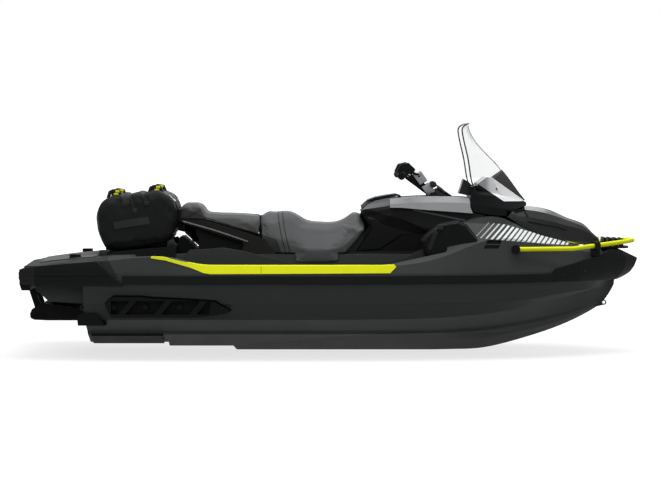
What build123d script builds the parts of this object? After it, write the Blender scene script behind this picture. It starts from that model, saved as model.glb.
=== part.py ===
"""Personal watercraft (three-seat runabout): hull, deck, jet pump and everything that moves.

X runs forward, Y to port and Z up. The pieces are drawn with Z measured from the keel, and each is
lowered by DRAUGHT as it is written, so that the origin lies on the waterline amidships.
"""
from build123d import *
import math
import os

# ---------------------------------------------------------------- driving dimensions, millimetres
DRAUGHT = 250.0            # keel to the unladen waterline
BOND_Z = 470.0             # plane where deck meets hull
SEAT_GAP = 0.3             # clearance of soft parts from what carries them
FIT_GAP = 0.5              # radial clearance of a pin in its bore
RUN_GAP = 6.0              # clearance between pieces that move apart

STERN_X = -1850.0          # aft edge of the swim platform
TRANSOM_X = -1460.0        # aft face of the hull
STEM_X = 1742.0            # front face of the hull, under the bow bumper

RAIL_DEPTH = 49.0          # rub rail, height of its section
RAIL_STAND = 15.0          # rub rail, how far it stands out

FOOT_FLOOR_Z = 350.0       # footwell floor
FOOT_IN_Y = 245.0          # footwell, inner side
FOOT_OUT_Y = 500.0         # footwell, outer side
TUB_WALL = 12.0            # footwell moulding thickness
PEDESTAL_Z = 600.0         # top of the seat pedestal
PLATFORM_Z = 598.0         # swim platform surface

PUMP_Z = 175.0             # jet pump axis
PUMP_BORE_R = 79.5         # impeller housing bore
PUMP_WALL = 12.0           # impeller housing wall
PUMP_FRONT_X = -1010.0     # front flange of the impeller housing
PUMP_LENGTH = 210.0        # impeller housing
VENTURI_LENGTH = 120.0     # cone behind the stator
VENTURI_EXIT_R = 50.0      # bore of the cone's outlet
IMPELLER_R = 77.5          # impeller tip radius
IMPELLER_LENGTH = 88.0     # impeller hub
HUB_R = 27.0               # impeller and stator hub
SHAFT_R = 14.0             # drive shaft
BLADE_COUNT = 3
BLADE_THICK = 5.0
BLADE_SWEEP = 100.0        # degrees from a blade's front to its rear
VANE_COUNT = 6
VANE_THICK = 4.0
FLANGE_THICK = 16.0        # front flange of the housing
FLANGE_STAND = 22.0        # flange over the bore
STATOR_SET = 34.0          # impeller to stator hub
LUG_R = 66.0               # outer face of the nozzle's tongues, from the axis
NOZZLE_LENGTH = 101.0      # steering nozzle
NOZZLE_ENTRY_R = 78.0      # steering nozzle, bore of its bell
NOZZLE_EXIT_R = 43.0       # steering nozzle outlet bore
NOZZLE_WALL = 7.0
NOZZLE_SET = 10.0          # nozzle pins behind the outlet of the cone
PIVOT_R = 8.0              # pins of the nozzle and the gate
BOSS_R = 15.0              # bosses round those pins
GATE_RADIUS = 188.0        # reverse gate, pivot to the outer face of its bucket
GATE_SET = 48.0            # gate pins ahead of the outlet of the cone
GATE_WALL = 8.0
GATE_ARM_Y = 96.0          # reverse gate, inner face of an arm
GATE_SPREAD = 23.0         # half of the angle that the bucket covers
GATE_OPEN_DEG = 84.0       # stowed angle above the lowered place
TUNNEL_Y = 150.0           # pump tunnel, half width
TUNNEL_Z = PUMP_Z + GATE_RADIUS + RUN_GAP + 4   # pump tunnel roof
TUNNEL_FRONT_X = -985.0
INTAKE_FRONT_X = -560.0    # front of the intake opening
INTAKE_Y = 76.0            # intake opening, half width
RIDE_PLATE_Z = 62.0        # underside of the ride plate
RIDE_PLATE_THICK = 8.0
GRATE_BARS = 5
GRATE_BAR = 8.0            # grate bar thickness
GRATE_Z = 38.0             # underside of the grate at its aft end

ENGINE = (620.0, 340.0, 380.0)   # engine block: length, width, height
ENGINE_X = -120.0
ENGINE_Z = 110.0           # underside of the engine block
BAY_GAP = 25.0             # engine bay clearance round the block

HOOD_WALL = 14.0           # hood moulding thickness
HOOD_HINGE = (1628.0, 664.0)     # hood hinge, X and Z
HOOD_PIN_R = 4.0
HOOD_KNUCKLE = (8.0, 14.0)       # hood knuckle: radius and half length
HOOD_LUG = (17.0, 23.0)          # hood lug on the deck: inner and outer Y
HOOD_NOTCH_Y = 28.0              # half width of the hood's cut over its lugs
BIN_Y = 150.0              # storage bin, half width at its rear
BIN_FRONT_Y = 55.0          # its half width at the front
BIN_FLARE = 1.18            # its mouth over its floor
BIN_FLOOR_Z = 492.0
CARGO_NECK_Y = 118.0        # half width of the cargo carrier's neck

STEER_X = 628.0            # steering axis where it leaves the console
STEER_Z = 948.0
STEER_LEAN = 35.0          # steering axis, degrees back from upright
COLUMN_R = 16.0
GRIP_Y = 385.0             # outer end of a handlebar grip
BAR_R = 11.0
GRIP_R = 17.0
BAR_X = 476.0              # handlebar clamp
BAR_Z = 1074.0

GLOVE_HINGE = (426.0, 944.0)     # glove box lid hinge, X and Z
GLOVE_Y = 104.0            # glove box lid, half width
GLOVE_LID = 14.0           # lid thickness
GLOVE_PIN_R = 3.0          # lid hinge pin
GLOVE_KNUCKLE_R = 6.0      # lid hinge knuckle
GLOVE_LUG = 8.0            # width of a hinge lug on the console

LADDER_X = -1520.0         # ladder hinge
LADDER_Z = 247.0
LADDER_Y = 232.0           # ladder, outer face of an arm
LADDER_ARM = 22.0          # arm thickness
LADDER_PIN_R = 8.0
LADDER_AFT_X = -1716.0     # aft end of the ladder's arms
LADDER_LOW_Z = 199.0       # underside of the stowed ladder
TREAD_RIBS = 5

BUMPER_STAND = 28.0        # stern bumper, how far it stands out
TUBE_R = 13.5              # bow rail tube
EYE_BORE_R = 9.0           # tow and mooring eye bores
BOW_EYE = (1682.0, 292.0)  # bow eye bore, X and Z
STERN_EYE = (-1482.0, 387.0, 288.0)
ANCHOR_BORE_R = 10.0       # accessory socket bores
ANCHOR = (-1530.0, 330.0)  # accessory socket, X and Y
ANCHOR_HALF = 30.0         # half the side of its block
ANCHOR_TOP_Z = 606.0
ANCHOR_DEPTH = 22.0
STRIP_THICK = 3.0          # coloured gunwale strip
LEG_PANEL = 10.0           # bulge of the pedestal's side panel
VENT_FEET = ((921.0, 674.0), (908.0, 646.0))   # lower aft corner of each deck vent
VENT_LONG = 86.0
VENT_HIGH = 22.0
VENT_DEPTH = 14.0
SPONSON_GAP = 10.0         # recess round a sponson
SPONSON_BACK_Y = FOOT_OUT_Y + TUB_WALL + 2   # floor of the sponson recess
SPONSON_FACE_Y = 588.0     # outer face of a sponson
SPONSON_WALL = 12.0
SPONSON_BOLTS = (-1278.0, -1092.0, -890.0, -684.0)
STRUT_X = (-1249.0, -1038.0, -831.0)   # foot of each slanted strut
STRUT_WIDE = 42.0
STRUT_LEAN = 40.0          # degrees from upright
# stern bumper: bands from below, low and high edge and how far each stands out
STERN_BANDS = ((432.0, 462.0, -4.0), (462.0, 494.0, 0.0), (494.0, 506.0, 8.0), (506.0, 576.0, -3.0))
MAT_THICK = 6.0            # deck mats

# hull sections: X, then (Y, Z) from the keel to the bond line
HULL = (
    (TRANSOM_X, ((0, 0), (190, 77), (300, 121), (330, 146), (482, 224), (532, 324), (556, BOND_Z))),
    (-1000, ((0, 0), (190, 77), (300, 121), (330, 146), (490, 224), (560, 324), (598, BOND_Z))),
    (-300, ((0, 0), (190, 77), (300, 121), (330, 146), (495, 224), (565, 324), (612, BOND_Z))),
    (300, ((0, 0), (185, 77), (292, 122), (320, 146), (485, 226), (555, 324), (600, BOND_Z))),
    (600, ((0, 0), (175, 80), (275, 126), (300, 148), (462, 232), (528, 322), (570, BOND_Z))),
    (900, ((0, 8), (150, 86), (235, 136), (255, 160), (418, 252), (480, 326), (515, BOND_Z))),
    (1150, ((0, 63), (115, 122), (180, 167), (200, 190), (350, 286), (414, 336), (440, BOND_Z))),
    (1350, ((0, 126), (75, 166), (120, 202), (135, 224), (258, 324), (316, 362), (352, BOND_Z))),
    (1536, ((0, 206), (40, 230), (64, 252), (74, 270), (150, 366), (204, 386), (246, BOND_Z))),
    (1658, ((0, 284), (18, 298), (28, 312), (34, 326), (62, 388), (98, 402), (142, BOND_Z))),
    (STEM_X, ((0, 400), (8, 404), (12, 408), (16, 414), (26, 430), (38, 440), (52, BOND_Z))),
)

# deck sections: X, half beam at the bond line, gunwale (Y, Z), inner shoulder (Y, Z), middle height
DECK = (
    (-1760, 533, (511, 546), (430, 548), 564),
    (-1640, 538, (516, 558), (434, 566), 582),
    (-1380, 548, (526, 572), (440, 590), PLATFORM_Z),
    (-1060, 588, (566, 600), (470, 604), PLATFORM_Z),
    (-900, 602, (580, 586), (500, 590), 590),
    (-730, 607, (585, 549), (520, 552), 556),
    (-300, 612, (590, 548), (530, 551), 552),
    (300, 600, (578, 549), (518, 552), 556),
    (480, 585, (562, 560), (480, 590), 600),
    (600, 570, (540, 582), (440, 650), 668),
    (768, 541, (505, 639), (352, 776), 800),
    (948, 500, (452, 697), (300, 826), 838),
    (1067, 467, (408, 706), (262, 812), 812),
    (1206, 419, (352, 680), (240, 738), 738),
    (1429, 309, (238, 634), (166, 672), 672),
    (1560, 224, (150, 612), (90, 640), 640),
    (1658, 142, (90, 602), (40, 618), 618),
    (STEM_X, 52, (30, 592), (14, 600), 600),
)
# raised panel of the topsides: its lower line in X and Z, closed over the bond line
PANEL_LINE = (
    (-1480, 392), (-690, 392), (-637, 369), (-560, 345), (-525, 318), (240, 320), (1003, 327), (1120, 352),
    (1330, 400), (1330, 480), (-1480, 480),
)
PANEL_STAND = 4.0
SKIN_STEP = 140.0          # spacing of the faired sections
SEAT_STEP = 64.0           # the same on the front seat

MIRROR = Plane.XZ


# ---------------------------------------------------------------- helpers
def polygon(points):
    """Closed polygon face from 3-D points."""
    return Face(Wire.make_polygon([Vector(*p) for p in points], close=True))


def section(x, half):
    """Symmetric face across X from half a section, keel first, ending on the centreline."""
    other = [(-y, z) for y, z in reversed(half) if y > 0]
    return polygon([(x, y, z) for y, z in tuple(half) + tuple(other)])


def slopes(xs, ys):
    """Slopes of a curve through points that never swings past them."""
    runs = [(ys[i + 1] - ys[i]) / (xs[i + 1] - xs[i]) for i in range(len(xs) - 1)]
    result = [runs[0]]
    for a, b in zip(runs, runs[1:]):
        result.append(0.0 if a * b <= 0 else 2 * a * b / (a + b))
    return result + [runs[-1]]


def curve_at(xs, ys, tangents, x):
    """Height at X of the cubic between two neighbouring points."""
    i = max(n for n in range(len(xs) - 1) if xs[n] <= x or n == 0)
    span = xs[i + 1] - xs[i]
    t = (x - xs[i]) / span
    h0, h1 = (1 + 2 * t) * (1 - t) ** 2, t * t * (3 - 2 * t)
    h2, h3 = t * (1 - t) ** 2, t * t * (t - 1)
    return h0 * ys[i] + h1 * ys[i + 1] + span * (h2 * tangents[i] + h3 * tangents[i + 1])


def faired(rows, step=SKIN_STEP):
    """Evenly spaced sections between the given ones: rows of X and a list of (Y, Z) points."""
    xs = [x for x, points in rows]
    columns = list(zip(*[[value for point in points for value in point] for x, points in rows]))
    tangents = [slopes(xs, column) for column in columns]
    count = max(2, round((xs[-1] - xs[0]) / step))
    result = []
    for n in range(count + 1):
        x = xs[0] + (xs[-1] - xs[0]) * n / count
        flat = [curve_at(xs, column, slope, x) for column, slope in zip(columns, tangents)]
        result.append((x, tuple(zip(flat[::2], flat[1::2]))))
    return result


def fair_skin(rows, step=SKIN_STEP):
    """Symmetric solid through faired sections."""
    return Part() + skin([section(x, half) for x, half in faired(rows, step)])


def skin(faces, ruled=False):
    """Solid through a row of faces."""
    return Solid.make_loft([f.outer_wire() for f in faces], ruled)


def slab_y(points, y0, y1):
    """Prism of an (X, Z) outline between two Y planes."""
    face = polygon([(x, y0, z) for x, z in points])
    return Solid.extrude(face, Vector(0, y1 - y0, 0))


def slab_x(points, x0, x1):
    """Prism of a (Y, Z) outline between two X planes."""
    return Solid.extrude(polygon([(x0, y, z) for y, z in points]), Vector(x1 - x0, 0, 0))


def slab_z(points, z0, z1):
    """Prism of an (X, Y) outline between two heights."""
    return Solid.extrude(polygon([(x, y, z0) for x, y in points]), Vector(0, 0, z1 - z0))


def block(x0, x1, y0, y1, z0, z1):
    """Box between its corners."""
    size = (x1 - x0, y1 - y0, z1 - z0)
    return Solid.make_box(*size, Plane(origin=(x0, y0, z0)))


def rod(start, end, radius):
    """Cylinder from one point to another."""
    a, b = Vector(*start), Vector(*end)
    return Solid.make_cylinder(radius, (b - a).length, Plane(origin=a, z_dir=b - a))


def cone(start, end, r0, r1):
    """Cone from one point to another."""
    a, b = Vector(*start), Vector(*end)
    return Solid.make_cone(r0, r1, (b - a).length, Plane(origin=a, z_dir=b - a))


def tube(points, radius, bend):
    """Round bar along straight runs joined by tangent arcs."""
    path = FilletPolyline(*points, radius=bend)
    edge = path.edges()[0]
    disc = Plane(origin=edge @ 0, z_dir=edge % 0) * Circle(radius)
    return sweep(disc, path=path)


def both(shape):
    """A piece and its mirror image, as separate solids."""
    return Compound(children=list(shape.solids()) + list(shape.mirror(MIRROR).solids()))


def joined(*shapes):
    """Shapes fused to one."""
    result = Part() + shapes[0]
    for shape in shapes[1:]:
        result = result + shape
    return result


def save(name, shape):
    """Write one piece with the waterline at zero."""
    solids = [s.moved(Location((0, 0, -DRAUGHT))) for s in shape.solids()]
    export_step(solids[0] if len(solids) == 1 else Compound(children=solids), f"parts/{name}.step")


# ---------------------------------------------------------------- hull and deck
def hull_skin(grow=0.0):
    """Outer form of the hull, solid, its topsides grown if asked."""
    rows = []
    for x, points in HULL:
        keel, sides = points[:4], points[4:]
        rows.append((x, keel + tuple((y + grow, z) for y, z in sides) + ((0, BOND_Z),)))
    return fair_skin(rows)


def deck_half(beam, gunwale, shoulder, middle, grow):
    """Half a deck section."""
    return (
        (0, BOND_Z), (beam + grow, BOND_Z), (beam - 4 + grow, BOND_Z + 34),
        (gunwale[0] + grow, gunwale[1] + grow), (shoulder[0], shoulder[1] + grow), (0, middle + grow),
    )


def deck_skin(grow=0.0):
    """Outer form of the deck above the bond line, solid."""
    body = fair_skin([(x, deck_half(b, g, s, m, grow)) for x, b, g, s, m in DECK])
    return body + platform_end(grow)


def platform_end(grow=0.0):
    """Aft end of the swim platform, with its corners cut."""
    x, beam, gunwale, shoulder, middle = DECK[0]
    front = section(x, deck_half(beam, gunwale, shoulder, middle, grow))
    end = STERN_X + BUMPER_STAND
    cut = (gunwale[0] - 82, gunwale[1] - 4)
    back = section(end, deck_half(beam - 82, cut, (shoulder[0] - 60, shoulder[1] - 8), middle - 10, grow))
    return skin([front, back], ruled=True)


def footwell(grow):
    """Footwell space on the port side, grown by a wall all round."""
    floor, top = FOOT_FLOOR_Z - grow, 720.0
    outline = (
        (-1210 - grow, top), (-1180 - grow, PLATFORM_Z), (-850 - grow, floor),
        (560 + grow, floor), (690 + grow, 640), (700 + grow, top),
    )
    return Part() + slab_y(outline, FOOT_IN_Y - grow, FOOT_OUT_Y + grow)


def tunnel():
    """Space round the pump, open aft and below, with the intake duct in front of it."""
    box = block(TRANSOM_X - 40, TUNNEL_FRONT_X, -TUNNEL_Y, TUNNEL_Y, -20, TUNNEL_Z)
    throat = [
        polygon([(x, y, z) for x, y, z in (
            (INTAKE_FRONT_X, -INTAKE_Y, -30), (INTAKE_FRONT_X, INTAKE_Y, -30),
            (TUNNEL_FRONT_X - 2, INTAKE_Y, -30), (TUNNEL_FRONT_X - 2, -INTAKE_Y, -30))]),
        polygon([(x, y, z) for x, y, z in (
            (INTAKE_FRONT_X - 40, -INTAKE_Y, 40), (INTAKE_FRONT_X - 40, INTAKE_Y, 40),
            (TUNNEL_FRONT_X - 2, INTAKE_Y, 40), (TUNNEL_FRONT_X - 2, -INTAKE_Y, 40))]),
        polygon([(x, y, z) for x, y, z in (
            (TUNNEL_FRONT_X + 40, -INTAKE_Y, PUMP_Z + 76), (TUNNEL_FRONT_X + 40, INTAKE_Y, PUMP_Z + 76),
            (TUNNEL_FRONT_X - 2, INTAKE_Y, PUMP_Z + 76), (TUNNEL_FRONT_X - 2, -INTAKE_Y, PUMP_Z + 76))]),
    ]
    return joined(box, skin(throat, ruled=True))


def engine_bay():
    """Space round the engine block."""
    length, width, height = ENGINE
    return block(
        ENGINE_X - length / 2 - BAY_GAP, ENGINE_X + length / 2 + BAY_GAP,
        -width / 2 - BAY_GAP, width / 2 + BAY_GAP, ENGINE_Z, ENGINE_Z + height + BAY_GAP)


def shaft_bore():
    """Way for the drive shaft from the engine bay to the intake duct."""
    start = (ENGINE_X - ENGINE[0] / 2 - BAY_GAP + 5, 0, PUMP_Z)
    return rod(start, (TUNNEL_FRONT_X, 0, PUMP_Z), SHAFT_R + RUN_GAP)


def make_hull():
    """Hull, with the pump tunnel, the engine bay, the sponson recesses and room for the footwells."""
    side_panel = slab_y(PANEL_LINE, -700, 700)
    body = hull_skin() + (hull_skin(PANEL_STAND) & side_panel)
    body = body - tunnel() - engine_bay() - shaft_bore()
    for tub in both(footwell(TUB_WALL)).solids():
        body = body - tub
    for recess in both(Part() + slab_y(sponson_outline(SPONSON_GAP), SPONSON_BACK_Y, 700)).solids():
        body = body - recess
    return body


def platform_fairing():
    """Half of the bulge behind the transom that fairs the swim platform into the hull."""
    outline = ((TRANSOM_X, 316), (-1676, 330), (-1750, 398), (-1780, BOND_Z), (TRANSOM_X, BOND_Z))
    return slab_y(outline, TUNNEL_Y + 20, 440)


def pedestal():
    """Seat pedestal between the footwells."""
    half = ((0, BOND_Z), (FOOT_IN_Y, BOND_Z), (FOOT_IN_Y - 12, PEDESTAL_Z), (0, PEDESTAL_Z))
    return skin([section(-1090, half), section(640, half)], ruled=True)


def storage_bin():
    """Hollow of the front storage bin, under the hood."""
    rear, front = 1085.0, 1540.0
    plan = ((rear, -BIN_Y), (rear, BIN_Y), (front, BIN_FRONT_Y), (front, -BIN_FRONT_Y))
    low = [(x, y, BIN_FLOOR_Z) for x, y in plan]
    high = [(x, y * BIN_FLARE, 900) for x, y in plan]
    return skin([polygon(low), polygon(high)], ruled=True)


def make_deck():
    """Deck moulding: platform, gunwales, footwells, pedestal and fore body."""
    body = deck_skin() + pedestal()
    below = block(-1400, 900, -700, 700, FOOT_FLOOR_Z - 40, BOND_Z)
    for side in (1, -1):
        tub, well, panel = footwell(TUB_WALL), footwell(0), leg_panel()
        if side < 0:
            tub, well, panel = tub.mirror(MIRROR), well.mirror(MIRROR), panel.mirror(MIRROR)
        body = body + (tub & below)
        body = body - well
        body = body + panel
    body = body - engine_bay() - storage_bin() - deck_vents()
    return body + both(platform_fairing()) + hood_lugs()


def deck_vents():
    """Two slanted air slots in each flank of the fore body, cut to an even depth."""
    floor = deck_skin(-VENT_DEPTH)
    slots = Part()
    for x, z in VENT_FEET:
        top, front = z + VENT_HIGH, x + VENT_LONG
        outline = ((x, z), (x + 10, top), (front + 12, top - 4), (front, z - 3))
        slots = slots + (slab_y(outline, 300, 620) - floor)
    return both(slots)


def leg_panel():
    """Bulge on the port side of the pedestal, beside the rider's leg."""
    outline = ((-866, 500), (-866, 612), (-848, 626), (-724, 632), (-651, 640), (-543, 622),
               (-283, 560), (-229, 541), (-229, 500))
    return Part() + slab_y(outline, FOOT_IN_Y - 30, FOOT_IN_Y + LEG_PANEL)


def hood_lugs():
    """Lugs and pin of the hood's hinge."""
    x, z = HOOD_HINGE
    inner, outer = HOOD_LUG
    shape = Part() + rod((x, -outer, z), (x, outer, z), HOOD_PIN_R)
    for side in (1, -1):
        y0, y1 = sorted((side * inner, side * outer))
        leg = slab_y(((x - 30, 600), (x - 9, z), (x + 6, z), (x - 4, 600)), y0, y1)
        shape = shape + leg + rod((x, y0, z), (x, y1, z), HOOD_PIN_R + 5)
    return shape


def plan_band(rail, stand, z0, z1, inner=40.0):
    """Band round both sides that follows (X, half beam) points and stands out from them."""
    out = [(x, y + stand) for x, y in rail]
    back = [(x, y - inner) for x, y in reversed(rail)]
    curve = Wire([Edge.make_spline([Vector(x, y, z0) for x, y in out]),
                  Edge.make_line(Vector(*out[-1], z0), Vector(*back[0], z0)),
                  Edge.make_spline([Vector(x, y, z0) for x, y in back]),
                  Edge.make_line(Vector(*back[-1], z0), Vector(*out[0], z0))])
    return Solid.extrude(Face(curve), Vector(0, 0, z1 - z0))


def make_rub_rail(hull, deck, bumper):
    """Rub rail along both sides, over the bond line."""
    side = [(x, pts[-1][0]) for x, pts in HULL if -1300 < x < 1400]
    rail = [(-1225, 584)] + side[:-1] + [(1335, 359)]
    low = BOND_Z - RAIL_DEPTH / 2 - 3
    band = Part() + plan_band(rail, RAIL_STAND, low, low + RAIL_DEPTH)
    return both(band - hull - deck - bumper)


def stern_plan(stand):
    """Outline of the stern bumper from above, moved outwards."""
    aft = STERN_X - min(stand, 0.0)
    half = [(-1222, 560), (-1222, 598 + stand), (-1380, 580 + stand), (-1745, 562 + stand),
            (aft, 470 + stand / 2)]
    inner = [(STERN_X + 60, 400), (-1700, 480), (-1380, 500)]
    other = [(x, -y) for x, y in reversed(half)]
    return half + other + [(x, -y) for x, y in reversed(inner)] + inner


def make_stern_bumper(hull, deck):
    """Bumper round the swim platform in stepped bands, its ends cut on a slant."""
    bands = Part()
    for low, high, stand in STERN_BANDS:
        bands = bands + slab_z(stern_plan(stand), low, high)
    base, top = STERN_BANDS[0][0], STERN_BANDS[-1][1]
    side = ((STERN_X - 20, base), (-1222, base), (-1380, top), (-1743, top - 30), (STERN_X - 20, top - 60))
    bands = bands & slab_y(side, -700, 700)
    lip = slab_y(
        ((STERN_X + 14, 396), (STERN_X + 2, base + 1), (STERN_X + 70, base + 1), (STERN_X + 62, 396)),
        -452, 452
    )
    return bands + lip - hull - deck


def make_bow_bumper(hull, deck):
    """Bumper round the stem."""
    plans = (
        (436, ((1283, 388), (1500, 262), (1650, 140), (1742, 62), (1765, 0))),
        (500, ((1283, 392), (1500, 290), (1650, 190), (1790, 84), (1862, 0))),
        (565, ((1283, 392), (1500, 294), (1650, 200), (1800, 92), (1885, 0))),
        (622, ((1283, 380), (1500, 270), (1650, 180), (1770, 80), (1822, 0))),
    )
    faces = []
    for z, half in plans:
        other = [(x, -y) for x, y in reversed(half) if y > 0]
        faces.append(polygon([(x, y, z) for x, y in tuple(half) + tuple(other)]))
    side = ((1283, 442), (1343, 519), (1450, 545), (1620, 590), (1700, 622), (1770, 622),
            (1885, 568), (1885, 560), (1866, 515), (1830, 462), (1762, 436))
    body = (Part() + skin(faces)) & slab_y(side, -500, 500)
    return body - hull - deck - storage_bin()


def sponson_outline(grow):
    """Outline of a sponson, grown all round."""
    return (
        (-1322 - grow, 328), (-1275 - grow / 2, 366 + grow), (-1116, 366 + grow), (-1046, 358 + grow),
        (-911, 352 + grow), (-682 + grow / 2, 338 + grow), (-588 + grow, 284), (-676 + grow, 258 - grow),
        (-764, 246 - grow), (-1293 - grow, 246 - grow), (-1310 - grow, 284),
    )


def make_gunwale_strips(deck):
    """Coloured strips along the gunwales."""
    outline = ((-1056, 594), (-1056, 613), (-979, 601), (-850, 572), (-733, 556), (375, 556),
               (388, 545), (350, 508), (-703, 503), (-745, 509), (-820, 539), (-967, 581))
    skin_out = deck_skin(STRIP_THICK)
    strip = (skin_out & slab_y(outline, 540, 700)) - deck
    return both(strip)


def make_sponsons():
    """Stabilising fins in the hull's side recesses, open between slanted struts."""
    slab = Part() + slab_y(sponson_outline(0), SPONSON_BACK_Y, SPONSON_FACE_Y)
    low, high = 264.0, 344.0
    shift = (high - low) * math.tan(math.radians(STRUT_LEAN))
    feet = [-1292] + [x for foot in STRUT_X for x in (foot, foot + STRUT_WIDE)] + [-716]
    for start, end in zip(feet[::2], feet[1::2]):
        lean_start = 0 if start == feet[0] else shift
        lean_end = shift if end != feet[-1] else 16
        window = ((start, low), (end, low), (end + lean_end, high), (start + lean_start, high))
        slab = slab - slab_y(window, SPONSON_BACK_Y + SPONSON_WALL, SPONSON_FACE_Y + 1)
    for x in SPONSON_BOLTS:
        slab = slab + rod((x, SPONSON_BACK_Y + 5, 303), (x, SPONSON_FACE_Y - 30, 303), 17)
    return both(slab)


def make_chine_guards(hull):
    """Wear guards on the aft corners of the chines."""
    outline = ((-1500, 242), (-1476, 263), (-1380, 263), (-1366, 236), (-1331, 192), (-1494, 192))
    return both((Part() + slab_y(outline, 430, 520)) - hull)


def make_strakes(hull):
    """Lifting strakes beside the pump tunnel."""
    outline = ((160, 66), (305, 124), (305, 112), (168, 54))
    return both((Part() + slab_x(outline, -1440, -1010)) - hull)


# ---------------------------------------------------------------- jet pump
def outlet_x():
    """X of the pump cone's outlet."""
    return PUMP_FRONT_X - PUMP_LENGTH - VENTURI_LENGTH


def pump_rod(x0, x1, radius):
    """Round bar along the pump axis."""
    return rod((x0, 0, PUMP_Z), (x1, 0, PUMP_Z), radius)


def pump_cone(x0, x1, r0, r1):
    """Cone along the pump axis."""
    return cone((x0, 0, PUMP_Z), (x1, 0, PUMP_Z), r0, r1)


def make_pump_housing():
    """Impeller housing with its flange, stator vanes, outlet cone and the pins of nozzle and gate."""
    front, back, outlet = PUMP_FRONT_X, PUMP_FRONT_X - PUMP_LENGTH, outlet_x()
    body = joined(
        pump_rod(front, back, PUMP_BORE_R + PUMP_WALL),
        pump_cone(back, outlet, PUMP_BORE_R + PUMP_WALL, VENTURI_EXIT_R + PUMP_WALL),
        pump_rod(front, front - FLANGE_THICK, PUMP_BORE_R + FLANGE_STAND),
    )
    body = body - pump_rod(front + 1, back, PUMP_BORE_R)
    body = body - pump_cone(back, outlet - 0.01, PUMP_BORE_R, VENTURI_EXIT_R)
    hub_front = front - IMPELLER_LENGTH - STATOR_SET
    hub = joined(pump_rod(hub_front, back, HUB_R), pump_cone(back, back - 90, HUB_R, 4))
    body = body + (hub - pump_rod(hub_front + 1, hub_front - 40, SHAFT_R + FIT_GAP))
    vane = block(
        back + 4, hub_front - 4, -VANE_THICK / 2, VANE_THICK / 2, PUMP_Z + HUB_R - 2,
        PUMP_Z + PUMP_BORE_R + 2
    )
    axis = Axis((0, 0, PUMP_Z), (1, 0, 0))
    for turn in range(VANE_COUNT):
        body = body + vane.rotate(axis, turn * 360 / VANE_COUNT)
    for side in (1, -1):
        body = body + gate_boss(side) + nozzle_lug(side)
    bracket = block(front - FLANGE_THICK, front, -TUNNEL_Y, TUNNEL_Y, PUMP_Z - 60, PUMP_Z + 100)
    return body + (bracket - pump_rod(front + 1, front - FLANGE_THICK - 4, PUMP_BORE_R))


def gate_boss(side):
    """Boss and pin of the reverse gate on one side of the cone."""
    x = outlet_x() + GATE_SET
    boss = rod((x, side * (VENTURI_EXIT_R + 8), PUMP_Z), (x, side * (GATE_ARM_Y - 2), PUMP_Z), BOSS_R)
    return boss + rod(
        (x, side * (GATE_ARM_Y - 3), PUMP_Z), (x, side * (GATE_ARM_Y + GATE_WALL + 4), PUMP_Z), PIVOT_R
    )


def nozzle_lug(side):
    """Tongue behind the cone, above or below, with a pin of the steering nozzle."""
    low, high = sorted((PUMP_Z + side * (VENTURI_EXIT_R + 7), PUMP_Z + side * LUG_R))
    tongue = Part() + block(nozzle_pivot_x() - 12, outlet_x() + 20, -12, 12, low, high)
    start = (nozzle_pivot_x(), 0, PUMP_Z + side * (LUG_R - 4))
    end = (nozzle_pivot_x(), 0, PUMP_Z + side * (NOZZLE_ENTRY_R + NOZZLE_WALL + 9))
    return tongue + rod(start, end, PIVOT_R)


def make_impeller():
    """Three-bladed impeller with the drive shaft to the engine."""
    front = PUMP_FRONT_X - 26
    back = front - IMPELLER_LENGTH
    hub = joined(
        cone((front, 0, PUMP_Z), (back, 0, PUMP_Z), SHAFT_R + 5, HUB_R - 0.5),
        rod((back - 36, 0, PUMP_Z), (ENGINE_X - ENGINE[0] / 2 - 1, 0, PUMP_Z), SHAFT_R),
    )
    axis = Axis((0, 0, PUMP_Z), (1, 0, 0))
    faces = []
    for step in range(5):
        share = step / 4
        x = front - 4 - share * (IMPELLER_LENGTH - 8)
        half, root, tip = BLADE_THICK / 2, PUMP_Z + SHAFT_R, PUMP_Z + IMPELLER_R
        blade = polygon([(x, -half, root), (x, half, root), (x, half, tip), (x, -half, tip)])
        faces.append(blade.rotate(axis, share * BLADE_SWEEP))
    one = skin(faces)
    for turn in range(BLADE_COUNT):
        hub = hub + one.rotate(axis, turn * 360 / BLADE_COUNT)
    return hub


def nozzle_pivot_x():
    """X of the steering nozzle's pins."""
    return outlet_x() - NOZZLE_SET


def make_nozzle():
    """Steering nozzle: a bell over the outlet that turns about upright pins."""
    pivot = nozzle_pivot_x()
    end = pivot - NOZZLE_LENGTH
    body = Part() + pump_cone(pivot, end, NOZZLE_ENTRY_R + NOZZLE_WALL, NOZZLE_EXIT_R + NOZZLE_WALL)
    for side in (1, -1):
        low, high = PUMP_Z + side * (NOZZLE_ENTRY_R - 2), PUMP_Z + side * (NOZZLE_ENTRY_R + NOZZLE_WALL + 6)
        body = body + rod((pivot, 0, low), (pivot, 0, high), BOSS_R)
    slope = (NOZZLE_ENTRY_R - NOZZLE_EXIT_R) / NOZZLE_LENGTH
    body = body - pump_cone(pivot, end - 1, NOZZLE_ENTRY_R, NOZZLE_EXIT_R - slope)
    lip = pump_rod(end, end + 10, NOZZLE_EXIT_R + NOZZLE_WALL + 5)
    lip = lip - pump_rod(end - 1, end + 11, NOZZLE_EXIT_R + 4)
    reach = NOZZLE_ENTRY_R + 20
    return body + lip - rod((pivot, 0, PUMP_Z - reach), (pivot, 0, PUMP_Z + reach), PIVOT_R + SEAT_GAP)


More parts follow.
